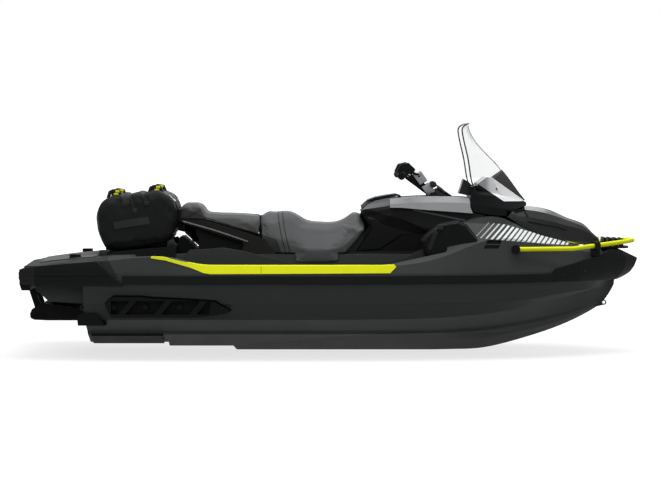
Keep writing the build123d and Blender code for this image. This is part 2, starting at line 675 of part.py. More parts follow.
def make_gate():
    """Reverse gate: a curved bucket on two arms, stowed above the nozzle."""
    cx = outlet_x() + GATE_SET
    reach = GATE_ARM_Y + GATE_WALL
    outer = rod((cx, -reach, PUMP_Z), (cx, reach, PUMP_Z), GATE_RADIUS)
    inner = rod((cx, -GATE_ARM_Y, PUMP_Z), (cx, GATE_ARM_Y, PUMP_Z), GATE_RADIUS - GATE_WALL)
    far = 1.4 * GATE_RADIUS
    rise = far * math.tan(math.radians(GATE_SPREAD))
    wedge = slab_y(
        ((cx, PUMP_Z), (cx - far, PUMP_Z + rise), (cx - far, PUMP_Z - rise)), -reach - 10, reach + 10
    )
    bucket = ((Part() + outer) & wedge) - inner
    for side in (1, -1):
        y0, y1 = sorted((side * GATE_ARM_Y, side * reach))
        arm = (
            (cx + 22, PUMP_Z - 22), (cx + 22, PUMP_Z + 22), (cx - 150, PUMP_Z + 62),
            (cx - 150, PUMP_Z - 62)
        )
        window = (
            (cx - 46, PUMP_Z - 14), (cx - 46, PUMP_Z + 14), (cx - 130, PUMP_Z + 34),
            (cx - 130, PUMP_Z - 34)
        )
        bucket = bucket + (slab_y(arm, y0, y1) - slab_y(window, y0 - 1, y1 + 1))
    bucket = bucket - rod((cx, -reach - 10, PUMP_Z), (cx, reach + 10, PUMP_Z), PIVOT_R + FIT_GAP)
    return bucket.rotate(Axis((cx, 0, PUMP_Z), (0, 1, 0)), GATE_OPEN_DEG)


def make_ride_plate():
    """Flat plate that closes the pump tunnel below, with three shallow ribs."""
    outline = ((TRANSOM_X - 8, -96), (TRANSOM_X + 20, -TUNNEL_Y), (TUNNEL_FRONT_X - 4, -TUNNEL_Y),
               (TUNNEL_FRONT_X - 4, TUNNEL_Y), (TRANSOM_X + 20, TUNNEL_Y), (TRANSOM_X - 8, 96))
    plate = Part() + slab_z(outline, RIDE_PLATE_Z, RIDE_PLATE_Z + RIDE_PLATE_THICK)
    for y in (-70, 0, 70):
        plate = plate + block(
            TRANSOM_X + 40, TUNNEL_FRONT_X - 60, y - 5, y + 5, RIDE_PLATE_Z - 3, RIDE_PLATE_Z + 1
        )
    return plate


def make_grate(hull):
    """Intake grate: fore-and-aft bars on two cross pieces."""
    start, end = TUNNEL_FRONT_X + 2, INTAKE_FRONT_X - 12
    bars = Part()
    step = 2 * INTAKE_Y / (GRATE_BARS + 1)
    for n in range(GRATE_BARS):
        y = -INTAKE_Y + step * (n + 1)
        outline = (
            (start, GRATE_Z), (start, GRATE_Z + 14), (end - 30, GRATE_Z + 6), (end, GRATE_Z - 4),
            (end, GRATE_Z - 8)
        )
        bars = bars + slab_y(outline, y - GRATE_BAR / 2, y + GRATE_BAR / 2)
    side = INTAKE_Y - FIT_GAP
    bars = bars + block(start, start + 16, -side, side, GRATE_Z + 2, GRATE_Z + 18)
    bars = bars + block(end - 50, end - 30, -side, side, GRATE_Z - 6, GRATE_Z + 6)
    return bars - hull


def make_engine():
    """Engine, as one plain block."""
    length, width, height = ENGINE
    return block(
        ENGINE_X - length / 2, ENGINE_X + length / 2, -width / 2, width / 2, ENGINE_Z, ENGINE_Z + height
    )


# ---------------------------------------------------------------- console, seat and cargo
SHROUD_TOP = 28.0          # top of the steering shroud, along the axis
SHROUD_R = 42.0
KNEE_Y = 172.0             # floor of the knee recess
KNEE_PAD = 22.0            # thickness of the knee pad
POUCH_Y = 470.0            # outer face of a side pouch
SEAT_CORE_Y = 150.0        # half width of the seat base at the grab bars
GRAB_Y = 203.0             # centre of a grab bar
GRAB_R = 12.5
KNEE_OUTLINE = (
    (151, 614), (247, 758), (211, 831), (253, 864), (300, 858),
    (392, 825), (440, 810), (603, 728), (440, 716), (301, 623),
)
CONSOLE_PROFILE = (
    (96, PEDESTAL_Z), (236, 768), (182, 858), (236, 905), (276, 921), (336, 933), (398, 942),
    (430, 934), (560, 942), (700, 944), (760, 930), (800, 880), (930, 852), (930, 640), (640, PEDESTAL_Z),
)


def steering_point(along, ahead=0.0):
    """X and Z of a point up the steering axis from the console, and square ahead of it."""
    lean = math.radians(STEER_LEAN)
    x = STEER_X - along * math.sin(lean) + ahead * math.cos(lean)
    return x, STEER_Z + along * math.cos(lean) + ahead * math.sin(lean)


def axis_rod(low, high, radius):
    """Round bar about the steering axis."""
    (x0, z0), (x1, z1) = steering_point(low), steering_point(high)
    return rod((x0, 0, z0), (x1, 0, z1), radius)


def console_skin():
    """Outer form of the console."""
    faces = [
        section(60, ((0, 560), (196, 560), (176, 760), (150, 850), (0, 900))),
        section(430, ((0, 560), (214, 560), (196, 760), (172, 880), (120, 960), (0, 970))),
        section(700, ((0, 560), (236, 560), (232, 760), (212, 880), (150, 946), (0, 960))),
        section(960, ((0, 560), (240, 560), (238, 760), (226, 850), (150, 900), (0, 920))),
    ]
    return ((Part() + skin(faces)) & slab_y(CONSOLE_PROFILE, -400, 400)) - cowl_room()


def cowl_room():
    """Room for the cowl and the hood above the console, with a gap all round."""
    rear = COWL_REAR_X - RUN_GAP
    outline = ((rear, 1200), (rear, 884), (857, 849), (970, 829), (1200, 822), (1200, 1200))
    return slab_y(outline, -400, 400)


def make_console(deck):
    """Console moulding between the seat and the hood, with its knee recesses and steering shroud."""
    (x0, z0), (x1, z1) = steering_point(-50), steering_point(SHROUD_TOP)
    shroud = cone((x0, 0, z0), (x1, 0, z1), 70, SHROUD_R)
    brace = slab_y((steering_point(0, 30), steering_point(26, 46), steering_point(30, 62),
                    (742, 950), (742, 930)), -14, 14)
    body = joined(console_skin(), shroud, brace) - deck - axis_rod(-160, SHROUD_TOP + 2, COLUMN_R + FIT_GAP)
    for side in (1, -1):
        y0, y1 = sorted((side * KNEE_Y, side * 400))
        body = body - slab_y(KNEE_OUTLINE, y0, y1)
    x, z = GLOVE_HINGE
    for side in (1, -1):
        y0, y1 = sorted((side * (glove_knuckle_y() + 1), side * (glove_knuckle_y() + 1 + GLOVE_LUG)))
        body = body + block(x - 4, x + 6, y0, y1, z - 16, z + 5)
    body = body + rod((x, -glove_knuckle_y() - 2, z), (x, glove_knuckle_y() + 2, z), GLOVE_PIN_R)
    return body - glove_box()


def glove_knuckle_y():
    """Half length of the lid's hinge knuckle."""
    return GLOVE_Y - GLOVE_LUG - RUN_GAP


def glove_box():
    """Hollow of the glove box."""
    outline = ((226, 960), (240, 800), (386, 800), (392, 960))
    return slab_y(outline, -GLOVE_Y + 18, GLOVE_Y - 18)


def make_glove_lid():
    """Glove box lid, over the console between the seat and the handlebar."""
    low = ((188, 872), (232, 911), (274, 926.5), (335, 938.5), (398, 947.5), (GLOVE_HINGE[0], 941))
    high = [(x - 3, z + GLOVE_LID) for x, z in reversed(low)]
    lid = Part() + slab_y(tuple(low) + tuple(high), -GLOVE_Y, GLOVE_Y)
    x, z = GLOVE_HINGE
    reach = glove_knuckle_y()
    for side in (1, -1):
        y0, y1 = sorted((side * reach, side * (GLOVE_Y + 1)))
        lid = lid - block(x - 12, x + 20, y0, y1, z - 40, z + 40)
    lid = lid + rod((x, -reach, z), (x, reach, z), GLOVE_KNUCKLE_R)
    return lid - rod((x, -reach - 1, z), (x, reach + 1, z), GLOVE_PIN_R + SEAT_GAP)


def make_console_cover(console):
    """Two-sided trim panel over the console's shoulders."""
    faces = [
        section(350, ((0, 868), (202, 868), (194, 900), (150, 930), (0, 936))),
        section(560, ((0, 850), (240, 850), (228, 912), (160, 946), (0, 954))),
        section(740, ((0, 840), (254, 840), (238, 912), (160, 944), (0, 950))),
        section(930, ((0, 836), (262, 836), (246, 900), (190, 930), (0, 934))),
    ]
    outline = (
        (360, 880), (430, 880), (603, 866), (856, 848), (864, 905), (922, 918), (912, 938), (700, 960),
        (360, 960)
    )
    cap = ((Part() + skin(faces)) & slab_y(outline, 128, 300)) - console - cowl_room()
    return both(cap)


def make_knee_pads(console):
    """Pads in the console's knee recesses, thicker at the foot."""
    outline = ((162, 622), (256, 758), (224, 826), (262, 818), (330, 770), (548, 727), (440, 724), (298, 632))
    wedge = [
        polygon([(x, KNEE_Y, z) for x, z in outline]),
        polygon([(x * 0.94 + 16, KNEE_Y + KNEE_PAD, z * 0.94 + 38) for x, z in outline]),
    ]
    return both((Part() + skin(wedge, ruled=True)) - console)


def make_pouches(console, deck):
    """Side storage pouches in front of the footwells."""
    outline = ((541, 690), (560, 714), (607, 756), (655, 790), (744, 806), (762, 810), (809, 788), (846, 742),
               (884, 696), (785, 652), (625, 594), (592, 580), (560, 606))
    faces = [polygon([(x, y, z) for x, z in outline]) for y in (250, POUCH_Y - 34)]
    faces.append(polygon([(704 + (x - 704) * 0.9, POUCH_Y, 694 + (z - 694) * 0.88) for x, z in outline]))
    body = Part() + skin(faces, ruled=True)
    return both(body - console - deck)


def seat_front_outer():
    """Outer form of the front seat."""
    stations = (
        (-425, 628, 205, 834, 150, 838), (-330, 590, 226, 838, 150, 850), (-250, 556, 240, 832, 150, 849),
        (-180, 544, 250, 786, 156, 812), (-90, 540, 256, 764, 158, 786), (0, 544, 256, 764, 152, 783),
        (80, 572, 232, 784, 140, 804), (140, 640, 205, 820, 128, 852), (214, 742, 170, 780, 110, 800),
    )
    rows = []
    for x, low, wide, shoulder, narrow, top in stations:
        rise = shoulder - low
        outline = (
            (0, low), (wide, low), (wide + 2, low + rise * 0.36), (narrow + 36, low + rise * 0.78),
            (narrow + 14, shoulder - rise * 0.04), (narrow - 20, top - 6), (0, top),
        )
        rows.append((x, outline))
    return fair_skin(rows, SEAT_STEP)


def make_seat_front():
    """Front seat cushion."""
    half, top = FOOT_IN_Y + SEAT_GAP, PEDESTAL_Z + SEAT_GAP
    body = seat_front_outer() - block(-600, 320, -half, half, 400, top)
    shift = SEAT_GAP / 0.75
    return body - slab_y([(x - shift, z) for x, z in CONSOLE_PROFILE], -400, 400)


def make_seat_rear():
    """Rear seat cushion, which ends in a raised backrest."""
    stations = (
        (-917, 808, 150, 884), (-880, 804, 160, 902), (-810, 806, 170, 903), (-784, 806, 178, 890),
        (-752, 800, 184, 850), (-690, 784, 190, 842), (-560, 746, 196, 838), (-428, 712, 190, 829),
    )
    rows = []
    for x, low, wide, top in stations:
        rows.append((x, ((0, low), (wide + 10, low), (wide, top - 24), (wide - 30, top - 6), (0, top))))
    return fair_skin(rows, SEAT_STEP / 2)


def make_seat_base(deck, seat_rear):
    """Firm base under the rear cushion, cut away below at the grab bars."""
    stations = (
        (-884, 804, 196), (-790, 806, 200), (-752, 800, 204), (-690, 783, 208),
        (-560, 745, 212), (-429, 700, 214), (-300, 640, 218),
    )
    floor = PEDESTAL_Z + SEAT_GAP
    rows = [(x, ((0, floor), (wide + 10, floor), (wide, high), (0, high))) for x, high, wide in stations]
    body = fair_skin(rows, SEAT_STEP / 2)
    recess = ((-1000, 590), (-548, 590), (-524, 652), (-540, 690), (-884, 800), (-1000, 800))
    for side in (1, -1):
        y0, y1 = sorted((side * SEAT_CORE_Y, side * 400))
        body = body - slab_y(recess, y0, y1)
    neck_side = ((-1000, 590), (-800, 590), (-800, 648), (-892, 732), (-1000, 830))
    return body - slab_y(neck_side, -400, 400) - seat_front_outer() - seat_rear - deck


def make_grab_handle(seat_base, seat_rear):
    """Grab rail: a bar along each side under the rear cushion, joined behind the backrest."""
    half = [(-505, 190, 664), (-545, GRAB_Y, 680), (-880, GRAB_Y, 788), (-912, 150, 792)]
    points = half + [(x, -y, z) for x, y, z in reversed(half)]
    rail = Part() + tube(points, GRAB_R, 18)
    shell = slab_y(((-924, 778), (-924, 800), (-884, 797), (-884, 774)), -150, 150)
    return rail + shell - seat_base - seat_rear


def make_cargo_base(deck, seat_base):
    """Moulded base of the rear cargo carrier, with the neck that joins it to the seat."""
    faces = [
        section(-1392, ((0, 560), (240, 560), (230, 606), (0, 612))),
        section(-1100, ((0, 560), (262, 560), (252, 634), (0, 640))),
        section(-932, ((0, 560), (248, 560), (238, 648), (0, 652))),
    ]
    neck = ((-934, 560), (-934, 652), (-918, 700), (-896, 702), (-828, 642), (-812, 604), (-812, 560))
    return ((Part() + skin(faces)) + slab_y(neck, -CARGO_NECK_Y, CARGO_NECK_Y)) - deck - seat_base


def make_cargo_bag(base):
    """Soft cargo bag."""
    stations = (
        (-1422, 720, 176, 880), (-1404, 650, 206, 926), (-1337, 628, 228, 950), (-1222, 630, 238, 972),
        (-1101, 644, 240, 986), (-1029, 652, 238, 980),
        (-972, 668, 222, 940), (-948, 706, 200, 886), (-936, 740, 180, 850),
    )
    rows = []
    for x, low, wide, high in stations:
        outline = (
            (0, low), (wide - 30, low), (wide, low + 50), (wide, high - 60), (wide - 50, high - 6),
            (0, high),
        )
        rows.append((x, outline))
    body = fair_skin(rows, SEAT_STEP)
    return body - base.moved(Location((0, 0, SEAT_GAP)))


# ---------------------------------------------------------------- hood and windshield
# hood sections: X, edge, lower crease, upper crease and shoulder (Y, Z), crown height
HOOD = (
    (1066, (256, 824), (250, 836), (236, 850), (190, 870), 882),
    (1206, (238, 744), (232, 776), (206, 822), (148, 864), 886),
    (1320, (208, 706), (200, 728), (176, 800), (120, 842), 869),
    (1429, (168, 678), (160, 692), (136, 772), (88, 806), 824),
    (1530, (114, 660), (105, 670), (84, 744), (56, 768), 784),
    (1612, (62, 652), (54, 660), (44, 706), (30, 722), 731),
    (1646, (40, 656), (36, 660), (30, 680), (18, 690), 696),
)
HOOD_STEP = 72.0           # spacing of the hood's faired sections
HOOD_VENT = 7.0            # depth of the hood's vents
# windshield from below: height, front X, rear X, half width at the rear
SCREEN = (
    (900, 1222, 905, 178), (1037, 1105, 850, 200),
    (1175, 983, 832, 214), (1277, 890, 806, 212), (1349, 850, 794, 204),
    (1388, 845, 828, 190),
)
SCREEN_THICK = 5.0
COWL_REAR_X = 848.0        # aft face of the instrument cowl
BASE_PROUD = 6.0           # windshield base outside the screen


def hood_skin(inset):
    """Outer form of the hood, drawn in by a wall."""
    rows = []
    for x, edge, low, high, shoulder, crown in HOOD:
        scale = 1 - inset / max(edge[0], 70)
        points = [(0, edge[1] - inset), (edge[0] * scale, edge[1] - inset)]
        points += [
            (y * scale, z - inset * share) for (y, z), share in zip((low, high, shoulder), (0.3, 0.7, 1))
        ]
        rows.append((x, tuple(points) + ((0, crown - inset),)))
    return fair_skin(rows, HOOD_STEP)


def make_hood(deck):
    """Hood over the storage bin: a creased shell, open below, with its hinge knuckle."""
    last = HOOD[-1][0]
    nose = block(last - HOOD_WALL, last + 20, -100, 100, 500, 900)
    shell = hood_skin(0) - (hood_skin(HOOD_WALL) - nose)
    rear = slab_y(((1000, 780), (1062, 822), (1100, 858), (1190, 900), (1190, 1000), (1000, 1000)), -400, 400)
    x, z = HOOD_HINGE
    radius, reach = HOOD_KNUCKLE
    shell = shell - rear - block(x - 12, last + 20, -HOOD_NOTCH_Y, HOOD_NOTCH_Y, 500, z + HOOD_WALL)
    arm = block(x - 6, x + 6, -reach, reach, z, z + 34)
    knuckle = rod((x, -reach, z), (x, reach, z), radius)
    shell = joined(shell, arm, knuckle)
    return shell - rod((x, -reach - 1, z), (x, reach + 1, z), HOOD_PIN_R + SEAT_GAP) - hood_vents() - deck


def hood_vents():
    """Recesses in the hood's sides: an air vent near the screen and a long scoop ahead of it."""
    vent = slab_y(((1111, 856), (1178, 868), (1198, 824), (1118, 828)), 60, 400)
    scoop = slab_y(((1186, 800), (1380, 762), (1452, 738), (1340, 732), (1214, 766)), 60, 400)
    return both((Part() + vent + scoop) - hood_skin(HOOD_VENT))


def screen_form(grow):
    """Solid inside the outer face of the windshield, grown or drawn in."""
    faces = []
    for z, front, rear, wide in SCREEN:
        side, nose, middle = wide + grow, front + grow * 1.4, rear + (front - rear) * 0.55
        half = [(rear, side), (middle, wide * 0.74 + grow), (nose, wide * 0.24)]
        faces.append(polygon([(x, y, z) for x, y in half] + [(x, -y, z) for x, y in reversed(half)]))
    return Part() + skin(faces)


def make_cowl():
    """Instrument cowl: the windshield's base over a black housing behind the hood."""
    faces = [
        section(836, ((0, 820), (222, 820), (216, 900), (206, 960), (186, 1030), (0, 1040))),
        section(1000, ((0, 820), (226, 820), (214, 880), (176, 950), (120, 990), (0, 1000))),
        section(1200, ((0, 820), (176, 820), (150, 870), (96, 912), (40, 930), (0, 934))),
    ]
    housing = ((COWL_REAR_X, 890), (862, 856), (971, 836), (1070, 830), (1102, 862), (1192, 893), (1192, 912),
               (1040, 950), (950, 992), (880, 1014), (COWL_REAR_X, 1006))
    base = (
        (880, 1000), (898, 1030), (947, 1064), (985, 1060), (1178, 925), (1192, 905), (1160, 900),
        (1000, 940)
    )
    body = (Part() + skin(faces)) & slab_y(housing, -400, 400)
    return body + (screen_form(BASE_PROUD) & slab_y(base, -400, 400)) - hood_skin(0)


def make_windshield(cowl):
    """Clear wrap-round windshield."""
    keep = (
        (700, 1092), (846, 1066), (897, 1029), (960, 960), (1190, 920), (1240, 920), (1240, 1500),
        (700, 1500)
    )
    shell = screen_form(0) - screen_form(-SCREEN_THICK).moved(Location((-0.5, 0, 0)))
    return (shell & slab_y(keep, -400, 400)) - cowl - hood_skin(0)


def make_gauge(cowl):
    """Instrument display in front of the rider."""
    profile = ((783, 962), (812, 1052), (846, 1032), (872, 1002), (872, 960), (842, 950))
    return (Part() + slab_y(profile, -78, 78)) - cowl


# ---------------------------------------------------------------- handlebar
def make_steering_riser():
    """Column, collar and two-part riser that carry the handlebar."""
    column = axis_rod(-120, SHROUD_TOP + 10, COLUMN_R)
    collar = axis_rod(SHROUD_TOP + RUN_GAP, SHROUD_TOP + 30, 30)
    lower = slab_y(((579, 962), (536, 994), (565, 1032), (620, 991), (604, 974)), -36, 36)
    upper = slab_y(((550, 984), (462, 1049), (452, 1070), (466, 1090), (490, 1088), (578, 1022)), -30, 30)
    return joined(column, collar, lower, upper) - rod((BAR_X, -60, BAR_Z), (BAR_X, 60, BAR_Z), BAR_R)


def bar_points():
    """Route of the handlebar, end to end."""
    half = [(BAR_X, 96, BAR_Z), (448, 206, BAR_Z + 12), (424, GRIP_Y - 6, BAR_Z)]
    return [(x, -y, z) for x, y, z in reversed(half)] + half


def make_handlebar():
    """Handlebar tube."""
    return tube(bar_points(), BAR_R, 40)


def make_grips():
    """Hand grips with flanged ends."""
    start, end = Vector(*bar_points()[-2]), Vector(*bar_points()[-1])
    along = (end - start).normalized()
    inner = start + along * 48
    outer = end + along * 6
    grip = rod(inner, outer, GRIP_R) + rod(outer - along * 7, outer, GRIP_R + 6)
    grip = grip + rod(inner, inner + along * 6, GRIP_R + 6)
    return both((Part() + grip) - rod(inner - along, end, BAR_R))


def make_controls():
    """Switch housings and levers on the handlebar."""
    start, end = Vector(*bar_points()[-2]), Vector(*bar_points()[-1])
    along = (end - start).normalized()
    a, b = start + along * 2, start + along * 46
    body = (Part() + rod(a, b, 22)) + slab_y(
        ((398, 1094), (420, 1140), (470, 1152), (512, 1112), (500, 1086), (430, 1080)), a.Y, a.Y + 40
    )
    lever = tube([(500, a.Y + 20, 1084), (540, a.Y + 44, 1080), (528, GRIP_Y - 30, 1072)], 6, 14)
    return both((Part() + body + lever) - rod(start - along * 5, end, BAR_R))


# ---------------------------------------------------------------- stern and bow fittings
def make_ladder():
    """Boarding ladder: two arms joined at the aft end, stowed under the platform."""
    arm_profile = ((LADDER_X + 22, LADDER_Z - 20), (LADDER_X + 22, LADDER_Z + 18), (LADDER_X, LADDER_Z + 24),
                   (LADDER_AFT_X, 298), (LADDER_AFT_X, LADDER_LOW_Z), (LADDER_X - 8, LADDER_LOW_Z))
    arms = Part() + slab_y(arm_profile, LADDER_Y - LADDER_ARM, LADDER_Y)
    arms = arms - rod(
        (LADDER_X, LADDER_Y - 60, LADDER_Z), (LADDER_X, LADDER_Y + 20, LADDER_Z), LADDER_PIN_R + FIT_GAP
    )
    return arms + arms.mirror(MIRROR) + block(LADDER_AFT_X, LADDER_AFT_X + 26, -LADDER_Y, LADDER_Y, 206, 250)


def make_ladder_tread():
    """Tread with slanted ribs, and the pull handle of the boarding ladder."""
    aft = LADDER_AFT_X
    profile = (
        (aft, LADDER_LOW_Z), (aft, 304), (aft - 24, 303), (aft - 52, 290), (aft - 90, 268),
        (aft - 102, 240), (aft - 98, 214), (aft - 76, 203),
    )
    tread = Part() + slab_y(profile, -LADDER_Y, LADDER_Y)
    for n in range(TREAD_RIBS):
        x = aft - 84 + n * 17
        groove = ((x, 214), (x + 6, 211), (x + 30, 250), (x + 24, 254))
        for side in (1, -1):
            y0, y1 = sorted((side * (LADDER_Y - 6), side * (LADDER_Y + 1)))
            tread = tread - slab_y(groove, y0, y1)
    strap = ((-1846, 388), (-1808, 388), (-1764, 268), (-1800, 248))
    for side in (1, -1):
        y0, y1 = sorted((side * 72, side * 98))
        tread = tread + slab_y(strap, y0, y1)
    return tread + slab_y(((-1846, 388), (-1808, 388), (-1798, 364), (-1837, 364)), -98, 98)


def make_ladder_brackets(hull):
    """Hinge brackets of the ladder on the transom."""
    outline = ((TRANSOM_X, 200), (TRANSOM_X, 300), (LADDER_X - 20, 270), (LADDER_X - 20, 224))
    bracket = Part() + slab_y(outline, LADDER_Y + 2, LADDER_Y + 16)
    pin = rod(
        (LADDER_X, LADDER_Y - LADDER_ARM - 4, LADDER_Z), (LADDER_X, LADDER_Y + 10, LADDER_Z), LADDER_PIN_R
    )
    return both((bracket + pin) - hull)





def make_bow_eye(hull):
    """Forged bow eye on the stem."""
    x, z = BOW_EYE
    ring = rod((x, -9, z), (x, 9, z), EYE_BORE_R + 7)
    foot = slab_y(((x - 60, z - 30), (x - 70, z - 4), (x - 14, z + 10), (x + 4, z - 14)), -9, 9)
    return joined(ring, foot) - rod((x, -20, z), (x, 20, z), EYE_BORE_R) - hull


def make_stern_eyes():
    """Tie-down eyes on the transom, behind the chine guards."""
    x, y, z = STERN_EYE
    outline = ((TRANSOM_X, z - 24), (TRANSOM_X, z + 24), (x - 10, z + 15), (x - 17, z), (x - 10, z - 15))
    plate = Part() + slab_y(outline, y - 7, y + 7)
    return both(plate - rod((x, y - 20, z), (x, y + 20, z), EYE_BORE_R))


def make_anchors():
    """Accessory sockets on the swim platform."""
    x, y = ANCHOR
    half = ANCHOR_HALF
    body = Part() + block(x - half, x + half, y - half, y + half, 540, ANCHOR_TOP_Z)
    body = body - rod((x, y, ANCHOR_TOP_Z - ANCHOR_DEPTH), (x, y, ANCHOR_TOP_Z + 40), ANCHOR_BORE_R)
    return both(body - deck_skin())


def make_bow_rail():
    """Rail loop round the nose."""
    half = [(1110, 436, 640), (1455, 322, 638), (1610, 215, 652), (1800, 118, 672), (1848, 62, 677)]
    points = [(x, -y, z) for x, y, z in half] + [(x, y, z) for x, y, z in reversed(half)]
    return tube(points, TUBE_R, 30)


def make_bow_rack(deck, bumper):
    """Rack plate between the rails at the nose."""
    outline = ((1652, -96), (1800, -84), (1826, -40), (1826, 40), (1800, 84), (1652, 96))
    plate = Part() + slab_z(outline, 628, 640)
    plate = plate + slab_z(((1680, -70), (1760, -40), (1760, 40), (1680, 70)), 600, 629)
    for x in (1670, 1705, 1740, 1775):
        plate = plate + block(x, x + 14, -84, 84, 640, 694 - (x - 1670) * 0.05)
    return plate - deck - bumper


def make_rail_mounts(bumper):
    """Round knobs and clamps that hold the bow rail."""
    x, y, z = 1101, 436, 641
    knob = Part() + rod((x, y - 40, z), (x, y + 24, z), 25)
    knob = knob + rod((x, y + 22, z), (x, y + 30, z), 16)
    clamp = rod((1590, 230, 650), (1618, 212, 653), 27) + slab_z(
        ((1584, 60), (1628, 60), (1628, 226), (1584, 226)), 590, 640
    )
    return both((knob + clamp) - deck_skin() - bumper - make_bow_rail())


def make_mats(deck):
    """Grip mats in the footwells and on the platform."""
    foot = block(-820, 540, FOOT_IN_Y + 12, FOOT_OUT_Y - 12, FOOT_FLOOR_Z, FOOT_FLOOR_Z + MAT_THICK)
    aft = slab_z(
        ((-1740, -350), (-1740, 350), (-1420, 400), (-1400, 300), (-1400, -300), (-1420, -400)), 520, 700
    )
    platform = (deck_skin(MAT_THICK) & aft) - deck
    x, y = ANCHOR
    half = ANCHOR_HALF + RUN_GAP
    for side in (1, -1):
        platform = platform - block(x - half, x + half, side * y - half, side * y + half, 500, 700)
    return Compound(children=list(both(Part() + foot).solids()) + list(platform.solids()))


def main():
    """Build every piece and write it."""
    os.makedirs("parts", exist_ok=True)
    hull, deck = make_hull(), make_deck()
    console = make_console(deck)
    cowl = make_cowl()
    bumper = make_bow_bumper(hull, deck)
    seat_rear = make_seat_rear()
    seat_front = make_seat_front()
    seat_base = make_seat_base(deck, seat_rear)
    base = make_cargo_base(deck, seat_base)
    pieces = {
        "hull": hull,
        "deck": deck,
        "rub_rails": make_rub_rail(hull, deck, bumper),
        "stern_bumper": make_stern_bumper(hull, deck),
        "bow_bumper": bumper,
        "gunwale_strips": make_gunwale_strips(deck),
        "sponsons": make_sponsons(),
        "chine_guards": make_chine_guards(hull),
        "strakes": make_strakes(hull),
        "pump_housing": make_pump_housing(),
        "impeller": make_impeller(),
        "steering_nozzle": make_nozzle(),
        "reverse_gate": make_gate(),
        "ride_plate": make_ride_plate(),
        "intake_grate": make_grate(hull),
        "engine_block": make_engine(),
        "console": console,
        "glove_lid": make_glove_lid(),
        "console_cover": make_console_cover(console),
        "knee_pads": make_knee_pads(console),
        "side_pouches": make_pouches(console, deck),
        "seat_front": seat_front,
        "seat_rear": seat_rear,
        "seat_base": seat_base,
        "grab_handle": make_grab_handle(seat_base, seat_rear),
        "cargo_base": base,
        "cargo_bag": make_cargo_bag(base),
        "hood": make_hood(deck),
        "cowl": cowl,
        "windshield": make_windshield(cowl),
        "gauge": make_gauge(cowl),
        "steering_riser": make_steering_riser(),
        "handlebar": make_handlebar(),
        "grips": make_grips(),
        "controls": make_controls(),
        "ladder_frame": make_ladder(),
        "ladder_tread": make_ladder_tread(),
        "ladder_brackets": make_ladder_brackets(hull),
        "bow_eye": make_bow_eye(hull),
        "stern_eyes": make_stern_eyes(),
        "deck_anchors": make_anchors(),
        "bow_rail": make_bow_rail(),
        "bow_rack": make_bow_rack(deck, bumper),
        "rail_mounts": make_rail_mounts(bumper),
        "deck_mats": make_mats(deck),
    }
    for name, shape in pieces.items():
        save(name, shape)


if __name__ == "__main__":
    main()
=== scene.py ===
"""Looks of the personal watercraft: finishes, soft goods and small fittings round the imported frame.

Everything is in metres in the craft's own frame: X runs forward, Y to port and Z up from the waterline.
"""

from __future__ import annotations

import logging
import math
from dataclasses import dataclass, field
from enum import Enum
from typing import Callable, Iterable, Sequence, Union

import bmesh
import bpy
from mathutils import Matrix, Vector, noise
from mathutils.bvhtree import BVHTree


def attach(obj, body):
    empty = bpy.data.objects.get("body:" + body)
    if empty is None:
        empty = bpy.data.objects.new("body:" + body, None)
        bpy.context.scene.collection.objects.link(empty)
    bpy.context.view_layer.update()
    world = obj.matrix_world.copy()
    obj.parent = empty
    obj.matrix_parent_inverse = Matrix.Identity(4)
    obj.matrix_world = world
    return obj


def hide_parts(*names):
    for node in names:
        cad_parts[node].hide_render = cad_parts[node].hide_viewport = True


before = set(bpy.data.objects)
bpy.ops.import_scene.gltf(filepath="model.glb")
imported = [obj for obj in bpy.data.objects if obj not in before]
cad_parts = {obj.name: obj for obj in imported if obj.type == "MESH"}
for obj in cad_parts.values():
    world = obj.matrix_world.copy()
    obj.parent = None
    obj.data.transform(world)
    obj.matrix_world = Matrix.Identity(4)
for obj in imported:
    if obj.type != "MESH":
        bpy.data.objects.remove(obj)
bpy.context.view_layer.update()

LOG = logging.getLogger("watercraft")
KEEL_Z = -0.25  # lowest point of the keel
FLOOR_GAP = 0.012  # from the keel down to the studio floor
ROOT = "craft"  # body of everything that doesn't move
LID = "front_lid"  # body of the hood and all that tilts with it
BAR = "steering"  # body of the handlebar and its column
HANDS = (-1, 1)  # starboard and port
WELD = 1e-6  # points of a modelled piece this near are one
CAD_WELD = 2e-5  # points of a CAD node this near are one

Number = Union[int, float]
Point = Sequence[float]
Line = tuple[Point, Point]
Outline = tuple[Point, ...]
Colour = tuple[int, int, int]


class Face(Enum):
    """Axes of a slab's outline and, last, of its thickness."""

    SIDE = (0, 2, 1)
    END = (1, 2, 0)


class Slot(Enum):
    """Material slots of the record."""

    GELCOAT = "gelcoat_charcoal"
    RUBBER = "rubber_black"
    BLACK = "plastic_black"
    LIME = "plastic_lime"
    SILVER = "plastic_silver"
    VINYL = "seat_vinyl"
    FABRIC = "bag_fabric"
    MAT = "deck_mat"
    ALLOY = "cast_alloy"
    STEEL = "stainless"
    CLEAR = "clear_screen"
    DISPLAY = "display"


def linear(red: Number, green: Number, blue: Number) -> tuple[float, float, float, float]:
    """Scene colour of a display colour.

    Args:
        red: Red from 0 to 255.
        green: Green from 0 to 255.
        blue: Blue from 0 to 255.

    Returns:
        Linear red, green, blue and an alpha of 1.
    """

    def channel(value: Number) -> float:
        """Linear value of one display channel."""
        share = value / 255
        return share / 12.92 if share <= 0.04045 else ((share + 0.055) / 1.055) ** 2.4

    return channel(red), channel(green), channel(blue), 1.0


# ------------------------------------------------------------------------------------ shader sums
def operator(name: str, swapped: bool = False) -> Callable[["Wire", "Operand"], "Wire"]:
    """Make a method of a wire that adds a Math node.

    Args:
        name: Math operation.
        swapped: Whether the other value comes first.

    Returns:
        The method.
    """

    def method(wire: "Wire", other: "Operand" = 0.0) -> "Wire":
        """Result of the operation."""
        return wire.sheet.math(name, *((other, wire) if swapped else (wire, other)))

    return method


